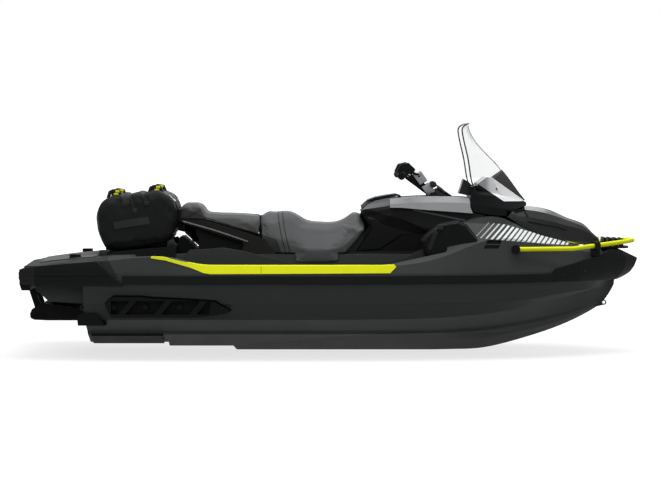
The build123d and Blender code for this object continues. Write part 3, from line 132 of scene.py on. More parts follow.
class Wire:
    """One shader output, on which sums are written as plain Python."""

    def __init__(self, sheet: "Sheet", socket: bpy.types.NodeSocket) -> None:
        """Keep the sheet that the socket belongs to."""
        self.sheet = sheet
        self.socket = socket

    __add__ = operator("ADD")
    __radd__ = operator("ADD", swapped=True)
    __sub__ = operator("SUBTRACT")
    __rsub__ = operator("SUBTRACT", swapped=True)
    __mul__ = operator("MULTIPLY")
    __rmul__ = operator("MULTIPLY", swapped=True)
    __truediv__ = operator("DIVIDE")
    __mod__ = operator("FLOORED_MODULO")
    __abs__ = operator("ABSOLUTE")
    least = operator("MINIMUM")
    most = operator("MAXIMUM")
    sine = operator("SINE")
    root = operator("SQRT")

    def held(self) -> "Wire":
        """Kept between 0 and 1."""
        return self.sheet.math("ADD", self, 0.0, clamp=True)

    def above(self, edge: "Operand", soft: float = 0.001) -> "Wire":
        """1 above an edge and 0 below it, with a soft step."""
        return ((self - edge) / soft + 0.5).held()

    def within(self, low: "Operand", high: "Operand", soft: float = 0.001) -> "Wire":
        """1 between two edges, else 0."""
        return self.above(low, soft) * (1 - self.above(high, soft))


Operand = Union[Wire, int, float]


class Sheet:
    """Node tree of one material or world."""

    def __init__(self, block: Union[bpy.types.Material, bpy.types.World]) -> None:
        """Clear the node tree.

        Args:
            block: Material or world that the tree belongs to.
        """
        self.block = block
        block.use_nodes = True
        self.tree = block.node_tree
        self.tree.nodes.clear()
        self._place: Union[tuple[Wire, Wire, Wire], None] = None

    def node(self, kind: str, settings: Union[dict, None] = None, **sockets: object) -> bpy.types.Node:
        """Add a node.

        Args:
            kind: Node type.
            settings: Settings, set before the sockets.
            sockets: Values or wires by socket name, with spaces as underscores, or by number as s0, s1.

        Returns:
            The node.
        """
        made = self.tree.nodes.new(kind)
        for name, value in (settings or {}).items():
            setattr(made, name, value)
        for name, value in sockets.items():
            key = int(name[1:]) if name[0] == "s" and name[1:].isdigit() else name.replace("_", " ")
            socket = made.inputs[key]
            if isinstance(value, Wire):
                self.tree.links.new(value.socket, socket)
            else:
                socket.default_value = value
        return made

    def wire(
        self, kind: str, settings: Union[dict, None] = None, out: Union[int, str] = 0, **sockets: object
    ) -> Wire:
        """Add a node, as node() does, and take up its output of a given name or number."""
        return Wire(self, self.node(kind, settings, **sockets).outputs[out])

    def math(self, operation: str, first: Operand, second: Operand = 0.0, clamp: bool = False) -> Wire:
        """Output of a Math node on one or two values, held between 0 and 1 if clamped."""
        return self.wire("ShaderNodeMath", {"operation": operation, "use_clamp": clamp}, s0=first, s1=second)

    def place(self) -> tuple[Wire, Wire, Wire]:
        """Find the surface point in the craft's frame.

        Returns:
            Its X, Y and Z.
        """
        if self._place is None:
            split = self.node("ShaderNodeSeparateXYZ", s0=self.coordinates())
            self._place = tuple(Wire(self, out) for out in split.outputs)
        return self._place

    def seen(self) -> Wire:
        """Tell what is looked at from what lights the craft.

        Returns:
            1 to the camera, and in reflections and glass, else 0.
        """
        path = self.node("ShaderNodeLightPath").outputs
        direct, glossy = Wire(self, path["Is Camera Ray"]), Wire(self, path["Is Glossy Ray"])
        return direct.most(glossy).most(Wire(self, path["Is Transmission Ray"]))

    def under(self, line: Line, soft: float = 0.002) -> Wire:
        """1 below a line of the side view, else 0.

        Args:
            line: X and Z of two points of the line.
            soft: Width of the step.

        Returns:
            The mask.
        """
        (start_x, start_z), (end_x, end_z) = line
        x, _, z = self.place()
        slope = (end_z - start_z) / (end_x - start_x)
        return 1 - z.above((x - start_x) * slope + start_z, soft)

    def over(self, line: Line, soft: float = 0.002) -> Wire:
        """1 above a line of the side view, else 0."""
        return 1 - self.under(line, soft)

    def coordinates(self) -> Wire:
        """Object coordinates as a vector."""
        return self.wire("ShaderNodeTexCoord", out="Object")

    def noise(self, scale: float, detail: float) -> Wire:
        """Noise from 0 to 1."""
        spot = self.coordinates()
        return self.wire("ShaderNodeTexNoise", out="Fac", Vector=spot, Scale=scale, Detail=detail)

    def cells(self, scale: float) -> Wire:
        """Distance to the nearest point of a scatter, as in a moulded grain."""
        return self.wire("ShaderNodeTexVoronoi", out="Distance", Vector=self.coordinates(), Scale=scale)

    def mix(self, share: Operand, first: object, second: object) -> Wire:
        """Blend of two colours: a share of 0 gives the first and 1 the second."""
        return self.wire("ShaderNodeMix", {"data_type": "RGBA"}, 2, s0=share, s6=first, s7=second)

    def bump(self, height: Wire, distance: float) -> Wire:
        """Normal that follows a height of 0 to 1, where 1 stands for a distance in metres."""
        return self.wire("ShaderNodeBump", Strength=1.0, Distance=distance, Height=height)

    def finish(self, **sockets: object) -> bpy.types.Material:
        """Close the sheet with a Principled shader that has these values or wires."""
        return self.close(self.wire("ShaderNodeBsdfPrincipled", **sockets))

    def close(self, shader: Wire) -> Union[bpy.types.Material, bpy.types.World]:
        """Lead a shader to the output.

        Args:
            shader: Output of the last shader.

        Returns:
            The material or world.
        """
        world = isinstance(self.block, bpy.types.World)
        self.node("ShaderNodeOutputWorld" if world else "ShaderNodeOutputMaterial", Surface=shader)
        return self.block


# ------------------------------------------------------------------------------------ finishes
@dataclass(frozen=True)
class Finish:
    """A surface finish: its name, its colour and the record's slot."""

    DRIFT = (0.05, 2.0)  # share and scale of the drift of lightness

    name: str
    slot: Slot
    colour: Colour

    def build(self) -> bpy.types.Material:
        """Make the material, or return the one already made."""
        found = bpy.data.materials.get(self.name)
        return found if found is not None else self.mix(Sheet(bpy.data.materials.new(self.name)))

    def mix(self, sheet: Sheet) -> bpy.types.Material:
        """Work out the finish on a sheet."""
        raise NotImplementedError

    def shade(self, sheet: Sheet) -> Wire:
        """Give the colour a slow drift of lightness.

        Args:
            sheet: Sheet to work on.

        Returns:
            The colour.
        """
        spread, scale = self.DRIFT
        base = linear(*self.colour)
        ends = (tuple(min(1.0, part * way) for part in base[:3]) + (1.0,) for way in (1 - spread, 1 + spread))
        return sheet.mix(sheet.noise(scale, 2.0), *ends)


@dataclass(frozen=True)
class Gelcoat(Finish):
    """Sprayed, polished shell with a fine flake and a trace of waviness."""

    roughness: float = 0.36
    coat: float = 0.12
    flake: Colour = (140, 144, 142)

    def mix(self, sheet: Sheet) -> bpy.types.Material:
        """Flake in the colour, polish that varies a little.

        Args:
            sheet: Sheet to work on.

        Returns:
            The material.
        """
        sparkle = sheet.cells(1400.0).above(0.62, 0.2)
        return sheet.finish(
            Base_Color=sheet.mix(sparkle * 0.16, self.shade(sheet), linear(*self.flake)),
            Roughness=sheet.noise(5.0, 4.0) * 0.12 + (self.roughness - 0.06),
            Coat_Weight=self.coat,
            Coat_Roughness=0.1,
            Specular_IOR_Level=0.08,
            Normal=sheet.bump(sheet.noise(34.0, 1.0), 0.00025),
        )


@dataclass(frozen=True)
class HullGelcoat(Gelcoat):
    """Hull shell: charcoal topsides, and the hull below the chine's knuckle darkened with painted shade."""

    # painted shade of the hull below the chine's knuckle, and the darker colour of its random mottle
    bottom_shade: Colour = (24, 25, 25)
    bottom_shade_mottle: Colour = (20, 21, 21)
    knuckle: Line = ((-1.453, -0.056), (0.1, -0.1))
    rise: Line = ((0.5, -0.1), (1.0, -0.046))

    def shade(self, sheet: Sheet) -> Wire:
        """Topsides, and painted shade below the knuckle of the chine, mottled at random.

        Args:
            sheet: Sheet to work on.

        Returns:
            The colour.
        """
        below = sheet.under(self.knuckle, 0.004) * sheet.under(self.rise, 0.004)
        low = sheet.mix(sheet.noise(3.0, 2.0) * 0.3, linear(*self.bottom_shade), linear(*self.bottom_shade_mottle))
        return sheet.mix(below, super().shade(sheet), low)


@dataclass(frozen=True)
class DeckGelcoat(Gelcoat):
    """Deck shell with a fan of slanted bars, and on each flank of the fore body two air slots painted dark as
    shade.
    """

    cap_foot: Line = ((0.8, 0.545), (1.06, 0.533))
    cap_colour: Colour = (9, 9, 9)
    stern_colour: Colour = (20, 21, 21)
    bar_pitch: float = 0.0346
    lean: float = 1.05
    first_bar: float = 0.372
    last_bar: float = 1.012
    bar_colours: tuple[Colour, Colour] = ((120, 122, 122), (214, 216, 216))
    fan_foot: Line = ((0.891, 0.457), (1.437, 0.404))
    fan_tops: tuple[Line, Line] = (((0.891, 0.552), (1.039, 0.534)), ((1.039, 0.535), (1.443, 0.418)))
    slots: tuple[Point, Point] = ((0.921, 0.424), (0.908, 0.396))
    slot_lean: float = 0.45
    slot_length: float = 0.09
    # painted shade standing for the openings of the air slots
    slot_shade_colour: Colour = (6, 6, 6)

    def shade(self, sheet: Sheet) -> Wire:
        """Base colour with the dark cap and stern, the bars, and the painted shade of the slots.

        Args:
            sheet: Sheet to work on.

        Returns:
            The colour.
        """
        x, y, z = sheet.place()
        cap = sheet.over(self.cap_foot) * x.within(0.76, 1.1, 0.01)
        stern = (1 - x.above(-1.33 - (z - 0.36) * 0.6, 0.003)) * z.above(0.2, 0.01)
        base = sheet.mix(cap, super().shade(sheet), linear(*self.cap_colour))
        base = sheet.mix(stern, base, linear(*self.stern_colour))
        along = x - z * self.lean
        share = ((along - self.first_bar) / (self.last_bar - self.first_bar)).held()
        pale = sheet.mix((share * 5).held(), *(linear(*colour) for colour in self.bar_colours))
        base = sheet.mix(self._bars(sheet, along, share), base, pale)
        return sheet.mix(self._painted_slot_shade(sheet) * abs(y).above(0.3, 0.01), base, linear(*self.slot_shade_colour))

    def _bars(self, sheet: Sheet, along: Wire, share: Wire) -> Wire:
        """Mask of the bars, which widen towards the bow.

        Args:
            sheet: Sheet to work on.
            along: Place across the slant of the bars.
            share: 0 at the first bar and 1 at the last.

        Returns:
            The mask.
        """
        phase = ((along - self.first_bar) / self.bar_pitch) % 1.0
        bars = 1 - phase.above((share * 1.2 + 0.2).least(0.66), 0.05)
        bars = bars * along.within(self.first_bar, self.last_bar) * sheet.over(self.fan_foot)
        for top in self.fan_tops:
            bars = bars * sheet.under(top)
        return bars * abs(sheet.place()[1]).above(0.12, 0.01)

    def _painted_slot_shade(self, sheet: Sheet) -> Wire:
        """Mask of the air slots, painted dark as the shade in their openings.

        Args:
            sheet: Sheet to work on.

        Returns:
            The mask.
        """
        x, _, z = sheet.place()
        upper, lower = (
            (x - (z - foot) * self.slot_lean).within(aft, aft + self.slot_length, 0.002)
            * z.within(foot - 0.001, foot + 0.02, 0.002)
            for aft, foot in self.slots
        )
        return upper.most(lower)


@dataclass(frozen=True)
class Moulding(Finish):
    """Injection-moulded plastic with a fine spark-eroded grain."""

    DRIFT = (0.08, 6.0)

    roughness: float = 0.5
    grain: float = 0.00012
    grain_scale: float = 900.0

    def mix(self, sheet: Sheet) -> bpy.types.Material:
        """Grain as bump, handling marks in the roughness.

        Args:
            sheet: Sheet to work on.

        Returns:
            The material.
        """
        cells = sheet.cells(self.grain_scale)
        return sheet.finish(
            Base_Color=sheet.mix(cells * 0.35, self.shade(sheet), linear(6, 6, 6)),
            Roughness=sheet.noise(14.0, 5.0) * 0.18 + (self.roughness - 0.09),
            Specular_IOR_Level=0.05,
            Normal=sheet.bump(cells, self.grain),
        )


@dataclass(frozen=True)
class Lacquer(Finish):
    """Smooth coloured plastic under lacquer."""

    DRIFT = (0.04, 7.0)

    roughness: float = 0.3
    metallic: float = 0.0

    def mix(self, sheet: Sheet) -> bpy.types.Material:
        """Faint orange peel and a slow drift in the colour.

        Args:
            sheet: Sheet to work on.

        Returns:
            The material.
        """
        return sheet.finish(
            Base_Color=self.shade(sheet),
            Roughness=sheet.noise(11.0, 4.0) * 0.12 + (self.roughness - 0.06),
            Metallic=self.metallic,
            Coat_Weight=0.08,
            Coat_Roughness=0.15,
            Specular_IOR_Level=0.15,
            Normal=sheet.bump(sheet.noise(220.0, 2.0), 0.00008),
        )


@dataclass(frozen=True)
class ConsoleShell(Moulding):
    """Console moulding: knee hollow painted near black as shade, grey side of the glove box and a thin pale
    trim line.
    """

    # near-black painted shade inside the knee hollow
    knee_recess_shade: Colour = (2, 2, 2)
    glove_side: Colour = (104, 106, 107)
    trim: Colour = (96, 98, 99)
    knee_top: Line = ((0.253, 0.612), (0.602, 0.502))
    knee_foot: Line = ((0.15, 0.362), (0.6, 0.372))
    box_top: Line = ((0.22, 0.66), (0.41, 0.704))
    box_foot: Line = ((0.205, 0.618), (0.367, 0.642))
    trim_top: Line = ((0.5, 0.621), (0.87, 0.548))
    trim_foot: Line = ((0.5, 0.612), (0.87, 0.539))

    def shade(self, sheet: Sheet) -> Wire:
        """Add the painted shade of the knee hollow, the glove box side and the trim line to the body colour.

        Args:
            sheet: Sheet to work on.

        Returns:
            The colour.
        """
        x, y, _ = sheet.place()
        # mask of the knee hollow, where shade is painted
        hollow = sheet.under(self.knee_top, 0.003) * sheet.over(self.knee_foot, 0.003)
        hollow = hollow * x.within(0.2, 0.66, 0.01)
        silver = sheet.under(self.box_top) * sheet.over(self.box_foot) * (1 - x.above(0.42, 0.002))
        line = sheet.under(self.trim_top) * sheet.over(self.trim_foot) * x.above(0.5, 0.01)
        shade = sheet.mix(hollow, super().shade(sheet), linear(*self.knee_recess_shade))
        shade = sheet.mix(silver * abs(y).above(0.1, 0.004), shade, linear(*self.glove_side))
        return sheet.mix(line, shade, linear(*self.trim))


@dataclass(frozen=True)
class CowlShell(Moulding):
    """Windshield base: a pale panel on each side over a black housing, grey at its aft corner."""

    pale: Colour = (238, 239, 240)
    corner: Colour = (172, 174, 176)
    panel_top: Line = ((0.99, 0.805), (1.186, 0.668))
    panel_foot: Line = ((0.895, 0.772), (1.04, 0.675))

    def shade(self, sheet: Sheet) -> Wire:
        """Add the pale panel to the body colour.

        Args:
            sheet: Sheet to work on.

        Returns:
            The colour.
        """
        x, y, z = sheet.place()
        panel = sheet.under(self.panel_top) * sheet.over(self.panel_foot) * z.above(0.668, 0.002)
        shade = sheet.mix(x.above(0.955, 0.03), linear(*self.corner), linear(*self.pale))
        return sheet.mix(panel * abs(y).above(0.02, 0.004), super().shade(sheet), shade)


@dataclass(frozen=True)
class Metal(Finish):
    """Bare or cast metal."""

    DRIFT = (0.12, 22.0)

    roughness: float = 0.35
    cast: float = 0.0002
    cast_scale: float = 320.0

    def mix(self, sheet: Sheet) -> bpy.types.Material:
        """Casting skin or polish, with stains.

        Args:
            sheet: Sheet to work on.

        Returns:
            The material.
        """
        return sheet.finish(
            Base_Color=self.shade(sheet),
            Metallic=1.0,
            Roughness=sheet.noise(18.0, 5.0) * 0.2 + (self.roughness - 0.1),
            Normal=sheet.bump(sheet.noise(self.cast_scale, 4.0), self.cast),
        )


@dataclass(frozen=True)
class Vinyl(Finish):
    """Marine vinyl with sewn seams, lighter above; painted shade darkens the lower side panel and the rear
    hump.
    """

    DRIFT = (0.06, 12.0)

    # darker colour painted as shade on the lower side panel and the rear hump; the panel's ribs are real
    # texture
    panel: Colour = (66, 67, 63)
    grain: Colour = (60, 61, 61)
    thread: Colour = (22, 23, 23)
    seam_places: Point = (-0.319, -0.292)

    def mix(self, sheet: Sheet) -> bpy.types.Material:
        """Leather-like grain, a textured side panel darkened with painted shade, painted shade on the rear
        hump and two seams across the front seat.

        Args:
            sheet: Sheet to work on.

        Returns:
            The material.
        """
        x, _, z = sheet.place()
        grain = sheet.cells(420.0)
        pores = sheet.noise(900.0, 2.0)
        edge = ((x + 0.361) * -0.312 + 0.446).least((x + 0.325) * -2.9 + 0.437)
        panel = 1 - z.above(edge, 0.004)
        dip = 0.593 - z
        seams = 1 - abs(z - edge).above(0.003, 0.003)
        for place in self.seam_places:
            line = dip * 0.12 + dip * dip * 0.38 + place
            seams = seams.most(1 - abs(x - line).above(0.0035, 0.003))
        rib = abs(((x + z * 0.6) / 0.008) % 1.0 - 0.5) * 2
        hump = (1 - x.above(-0.775 - (z - 0.6) * 0.5, 0.004)) * (1 - z.above(0.632, 0.012))
        shade = self.shade(sheet)
        # the side panel and the hump get painted shade; grain and seams are the vinyl's own colour
        for share, colour in (
            (panel, self.panel),
            (hump * 0.8, self.panel),
            (grain * 0.25, self.grain),
            (seams * 0.75, self.thread),
        ):
            shade = sheet.mix(share, shade, linear(*colour))
        height = grain * 0.35 + pores * 0.2 + rib * panel * 0.4 - seams * 1.6
        return sheet.finish(
            Base_Color=shade,
            Roughness=pores * 0.15 + 0.55,
            Specular_IOR_Level=0.14,
            Normal=sheet.bump(height, 0.0006),
        )


@dataclass(frozen=True)
class BagCloth(Finish):
    """Coated bag fabric with a close weave and a soft sheen."""

    DRIFT = (0.12, 5.0)

    pitch: float = 0.0016

    def mix(self, sheet: Sheet) -> bpy.types.Material:
        """Weave from crossed waves, creases in the roughness.

        Args:
            sheet: Sheet to work on.

        Returns:
            The material.
        """
        x, y, z = sheet.place()
        warp, weft = ((way * (math.tau / self.pitch)).sine() * 0.5 + 0.5 for way in (x + y, z))
        weave = warp * weft
        crease = sheet.noise(7.0, 5.0)
        return sheet.finish(
            Base_Color=sheet.mix(weave * 0.18, self.shade(sheet), linear(60, 61, 62)),
            Roughness=crease * 0.25 + 0.42,
            Specular_IOR_Level=0.1,
            Normal=sheet.bump(weave * 0.25 + crease, 0.0014),
        )


@dataclass(frozen=True)
class FoamMat(Finish):
    """Closed-cell deck mat with brushed grooves."""

    DRIFT = (0.08, 10.0)

    pitch: float = 0.034

    def mix(self, sheet: Sheet) -> bpy.types.Material:
        """Grooves across the craft and a pebbled top.

        Args:
            sheet: Sheet to work on.

        Returns:
            The material.
        """
        x, y, _ = sheet.place()
        line = abs(((x + abs(y) * 0.35) / self.pitch) % 1.0 - 0.5) * 2
        groove = line.above(0.86, 0.1)
        pebble = sheet.cells(380.0)
        return sheet.finish(
            Base_Color=sheet.mix(groove, self.shade(sheet), linear(18, 19, 19)),
            Roughness=pebble * 0.1 + 0.72,
            Specular_IOR_Level=0.1,
            Normal=sheet.bump(pebble * 0.3 - groove * 2, 0.0015),
        )


@dataclass(frozen=True)
class ClearSheet(Finish):
    """Clear polycarbonate, dark where it is seen edge on, with a black printed foot."""

    foot: Line = ((0.984, 0.8), (1.021, 0.83))

    def mix(self, sheet: Sheet) -> bpy.types.Material:
        """See-through face with a faint gloss; the rim and the foot are dense.

        Args:
            sheet: Sheet to work on.

        Returns:
            The material.
        """
        rim = ((sheet.wire("ShaderNodeLayerWeight", out="Facing", Blend=0.5) - 0.72) / 0.25).held()
        foot = sheet.under(self.foot)
        colour = sheet.mix(rim, linear(*self.colour), linear(40, 42, 43))
        return sheet.finish(
            Base_Color=sheet.mix(foot, colour, linear(10, 10, 10)),
            Roughness=sheet.noise(40.0, 4.0) * 0.06 + 0.05,
            Alpha=(rim * 0.6 + foot + 0.05).held(),
            Specular_IOR_Level=0.3,
            Coat_Weight=0.1,
            Coat_Roughness=0.04,
        )


@dataclass(frozen=True)
class Screen(Finish):
    """Instrument glass over a dark dial with plain lit bars."""

    def mix(self, sheet: Sheet) -> bpy.types.Material:
        """Lit bars on a dark field.

        Args:
            sheet: Sheet to work on.

        Returns:
            The material.
        """
        _, y, z = sheet.place()
        bar = abs((y / 0.018) % 1.0 - 0.5).above(0.3, 0.05)
        lit = bar * z.within(0.735, 0.775, 0.004) * (1 - abs(y).above(0.05, 0.003))
        return sheet.finish(
            Base_Color=sheet.mix(lit, linear(*self.colour), linear(150, 190, 200)),
            Roughness=sheet.noise(30.0, 3.0) * 0.08 + 0.3,
            Coat_Weight=0.05,
            Coat_Roughness=0.2,
            Specular_IOR_Level=0.15,
            Emission_Color=sheet.mix(lit, (0.0, 0.0, 0.0, 1.0), linear(120, 170, 180)),
            Emission_Strength=0.35,
        )


class Paint:
    """Every finish used on the craft."""

    HULL = HullGelcoat("gelcoat_hull", Slot.GELCOAT, (44, 46, 45), 0.5, 0.0)
    DECK = DeckGelcoat("gelcoat_deck", Slot.GELCOAT, (48, 50, 49), 0.6, 0.0)
    HOOD = Gelcoat("gelcoat_hood", Slot.GELCOAT, (9, 9, 10), 0.3, 0.06)
    BLACK = Moulding("moulded_black", Slot.BLACK, (20, 21, 21), 0.5)
    BUMPER = Moulding("moulded_bumper", Slot.RUBBER, (28, 29, 29), 0.52, 0.0002, 500.0)
    GLOSS_BLACK = Lacquer("gloss_black", Slot.BLACK, (14, 15, 15), 0.2)
    CONSOLE = ConsoleShell("console_shell", Slot.BLACK, (26, 27, 27), 0.42)
    COWL = CowlShell("cowl_shell", Slot.BLACK, (18, 19, 19), 0.36)
    POD = Moulding("pod_cloth", Slot.FABRIC, (21, 22, 22), 0.6, 0.0004, 260.0)
    BASE = Moulding("seat_base_vinyl", Slot.VINYL, (34, 35, 33), 0.6, 0.0003, 520.0)
    # near-black painted shadow for fillers set in gaps and joints where only shade is seen
    SHADOW_FILL = Moulding("painted_shadow_fill", Slot.BLACK, (2, 2, 2), 0.8)
    CAST = Metal("clamp_casting", Slot.ALLOY, (120, 122, 124), 0.42)
    RIM = Lacquer("screen_rim_dark", Slot.CLEAR, (16, 17, 18), 0.4)
    OLIVE = Moulding("joint_shadow", Slot.LIME, (120, 124, 10), 0.5)
    EDGE = Moulding("pale_edge", Slot.SILVER, (136, 138, 139), 0.4)
    GREY = Moulding("moulded_grey", Slot.BLACK, (52, 54, 53), 0.42)
    GRIP = Moulding("grip_rubber", Slot.RUBBER, (22, 23, 23), 0.6, 0.0005, 420.0)
    LIME = Lacquer("lacquer_lime", Slot.LIME, (220, 224, 3), 0.5)
    SILVER = Lacquer("lacquer_silver", Slot.SILVER, (128, 130, 132), 0.36, 0.25)
    VINYL = Vinyl("marine_vinyl", Slot.VINYL, (80, 81, 82), (44, 45, 43))
    CLOTH = BagCloth("bag_cloth", Slot.FABRIC, (15, 16, 16))
    WEBBING = BagCloth("bag_webbing", Slot.FABRIC, (26, 27, 27))
    WEBBING_PALE = BagCloth("bag_webbing_pale", Slot.FABRIC, (44, 45, 45))
    REFLECT = Lacquer("reflective_tape", Slot.FABRIC, (205, 206, 207), 0.4)
    MAT = FoamMat("deck_mat", Slot.MAT, (44, 46, 46))
    ALLOY = Metal("cast_alloy", Slot.ALLOY, (150, 152, 154), 0.45)
    STEEL = Metal("stainless_steel", Slot.STEEL, (190, 192, 194), 0.24, 0.00004)
    # stainless steel painted dark, as the shade on eyes that sit in notches
    SHADED_STEEL = Metal("stainless_painted_shade", Slot.STEEL, (34, 35, 36), 0.4)
    CLEAR = ClearSheet("clear_sheet", Slot.CLEAR, (226, 230, 232))
    SCREEN = Screen("instrument_screen", Slot.DISPLAY, (10, 12, 14))


# ------------------------------------------------------------------------------------ modelling
def linked(name: str, data: bpy.types.ID) -> bpy.types.Object:
    """Make an object in the scene.

    Args:
        name: Name of the object.
        data: Mesh, curve, lamp or camera that it shows.

    Returns:
        The object.
    """
    made = bpy.data.objects.new(name, data)
    bpy.context.scene.collection.objects.link(made)
    return made


def meshed(name: str, bm: bmesh.types.BMesh) -> bpy.types.Mesh:
    """Make a mesh of a bmesh, which is freed.

    Args:
        name: Name of the mesh.
        bm: What it is made of.

    Returns:
        The mesh.
    """
    mesh = bpy.data.meshes.new(name)
    bm.to_mesh(mesh)
    bm.free()
    return mesh


def evaluated(made: bpy.types.Object) -> bpy.types.Mesh:
    """Mesh of a curve, or of an object with its modifiers."""
    bpy.context.view_layer.update()
    return bpy.data.meshes.new_from_object(made.evaluated_get(bpy.context.evaluated_depsgraph_get()))


def shifted(mesh: bpy.types.Mesh, places: Sequence[Point]) -> None:
    """Put every point of a mesh in its new place."""
    for vertex, place in zip(mesh.vertices, places):
        vertex.co = place


def sampled(route: Sequence[Point], steps: int) -> list[Vector]:
    """Points along a route, all but its last, with some steps from each corner to the next."""
    legs = zip(route, route[1:])
    return [Vector(start).lerp(Vector(end), n / steps) for start, end in legs for n in range(steps)]


class Shape:
    """A mesh being modelled with bmesh operators."""

    SHARP = 0.5  # angle in radians from which an edge is rounded

    def __init__(self) -> None:
        """Start with nothing."""
        self.bm = bmesh.new()

    def _rounded(self, verts: Iterable[bmesh.types.BMVert], bevel: float, segments: int) -> None:
        """Round the sharp edges between the given vertices.

        Args:
            verts: Ends of the edges.
            bevel: Radius of the rounding.
            segments: Facets in it.
        """
        if bevel <= 0:
            return
        chosen = set(verts)
        edges = [e for e in self.bm.edges if e.verts[0] in chosen and e.verts[1] in chosen]
        sharp = [e for e in edges if len(e.link_faces) == 2 and e.calc_face_angle(0.0) > self.SHARP]
        bmesh.ops.bevel(
            self.bm, geom=sharp, offset=bevel, offset_type="OFFSET", segments=segments,
            profile=0.5, affect="EDGES", material=-1, clamp_overlap=True,
        )

    def box(self, low: Point, high: Point, bevel: float = 0.002, segments: int = 2) -> "Shape":
        """Add a box with rounded edges.

        Args:
            low: Lowest corner.
            high: Highest corner.
            bevel: Radius of the edges.
            segments: Facets in the rounding.

        Returns:
            This shape.
        """
        a, b = Vector(low), Vector(high)
        place = Matrix.LocRotScale((a + b) / 2, None, b - a)
        made = bmesh.ops.create_cube(self.bm, size=1.0, matrix=place)
        self._rounded(made["verts"], bevel, segments)
        return self

    def rod(
        self, start: Point, end: Point, radius: float, end_radius: Union[float, None] = None,
        sides: int = 28, bevel: float = 0.0,
    ) -> "Shape":
        """Add a round bar or a cone between two points.

        Args:
            start: Centre of one end.
            end: Centre of the other end.
            radius: Radius at the start.
            end_radius: Radius at the end, if it differs.
            sides: Facets round it.
            bevel: Radius of the end edges.

        Returns:
            This shape.
        """
        a, b = Vector(start), Vector(end)
        turn = (b - a).to_track_quat("Z", "Y")
        place = Matrix.LocRotScale((a + b) / 2, turn, None)
        made = bmesh.ops.create_cone(
            self.bm, cap_ends=True, cap_tris=False, segments=sides, radius1=radius,
            radius2=radius if end_radius is None else end_radius, depth=(b - a).length, matrix=place,
        )
        self._rounded(made["verts"], bevel, 2)
        return self

    def slab(
        self, outline: Sequence[Point], face: Face, low: float, high: float, bevel: float = 0.0,
        segments: int = 2,
    ) -> "Shape":
        """Add a plate of a given outline.

        Args:
            outline: Corners in the plane.
            face: Plane of the outline.
            low: Place of one face along the third axis.
            high: Place of the other face.
            bevel: Radius of the edges.
            segments: Facets in the rounding.

        Returns:
            This shape.
        """
        across, up, through = face.value
        corners = []
        for first, second in outline:
            spot = [0.0, 0.0, 0.0]
            spot[across], spot[up], spot[through] = first, second, low
            corners.append(self.bm.verts.new(spot))
        flat = self.bm.faces.new(corners)
        made = bmesh.ops.extrude_face_region(self.bm, geom=[flat])["geom"]
        top = [v for v in made if isinstance(v, bmesh.types.BMVert)]
        step = [0.0, 0.0, 0.0]
        step[through] = high - low
        bmesh.ops.translate(self.bm, verts=top, vec=Vector(step))
        self._rounded(corners + top, bevel, segments)
        return self

    def swept(self, route: Sequence[Point], profile: Union[float, Outline], smooth: int = 8) -> "Shape":
        """Add a bar of a given section along a smooth route.

        Args:
            route: Control points of the route.
            profile: Corners of the section, or the radius of a round bar.
            smooth: Steps between control points.

        Returns:
            This shape.
        """
        curve = bpy.data.curves.new("route", "CURVE")
        curve.dimensions = "3D"
        curve.resolution_u = smooth
        curve.twist_mode = "Z_UP"
        curve.use_fill_caps = True
        spline = curve.splines.new("NURBS")
        spline.points.add(len(route) - 1)
        for knot, spot in zip(spline.points, route):
            knot.co = (*spot, 1.0)
        spline.order_u = min(3, len(route))
        spline.use_endpoint_u = True
        holders = [linked("route", curve)]
        if isinstance(profile, float):
            curve.bevel_depth = profile
            curve.bevel_resolution = 4
        else:
            holders.append(linked("section", bpy.data.curves.new("section", "CURVE")))
            line = holders[1].data.splines.new("POLY")
            line.points.add(len(profile) - 1)
            for knot, spot in zip(line.points, profile):
                knot.co = (*spot, 0.0, 1.0)
            line.use_cyclic_u = True
            curve.bevel_mode = "OBJECT"
            curve.bevel_object = holders[1]
        self.bm.from_mesh(evaluated(holders[0]))
        for holder in holders:
            bpy.data.objects.remove(holder)
        return self

    def absorb(self, other: bmesh.types.BMesh) -> None:
        """Take in another mesh, which is freed."""
        self.bm.from_mesh(meshed("absorbed", other))

    def mirrored(self) -> "Shape":
        """Add the mirror image across the centreline.

        Returns:
            This shape.
        """
        geometry = self.bm.verts[:] + self.bm.edges[:] + self.bm.faces[:]
        copy = bmesh.ops.duplicate(self.bm, geom=geometry)["geom"]
        verts = [v for v in copy if isinstance(v, bmesh.types.BMVert)]
        faces = [f for f in copy if isinstance(f, bmesh.types.BMFace)]
        bmesh.ops.scale(self.bm, vec=(1, -1, 1), verts=verts)
        bmesh.ops.reverse_faces(self.bm, faces=faces)
        return self

    def turned(self, pivot: Point, axis: str, degrees: float) -> "Shape":
        """Turn all of it about a point.

        Args:
            pivot: The point.
            axis: Axis through it.
            degrees: Angle of the turn.

        Returns:
            This shape.
        """
        spin = Matrix.Rotation(math.radians(degrees), 3, axis)
        bmesh.ops.rotate(self.bm, cent=Vector(pivot), matrix=spin, verts=self.bm.verts[:])
        return self

    def piece(self, name: str, finish: Finish, body: str = ROOT) -> None:
        """Close the shape as a piece of the craft.

        Args:
            name: Name of the piece.
            finish: Its finish.
            body: CAD body that it rides on.
        """
        bmesh.ops.remove_doubles(self.bm, verts=self.bm.verts[:], dist=WELD)
        bmesh.ops.recalc_face_normals(self.bm, faces=self.bm.faces[:])
        settle(name, meshed(name, self.bm), finish, body)


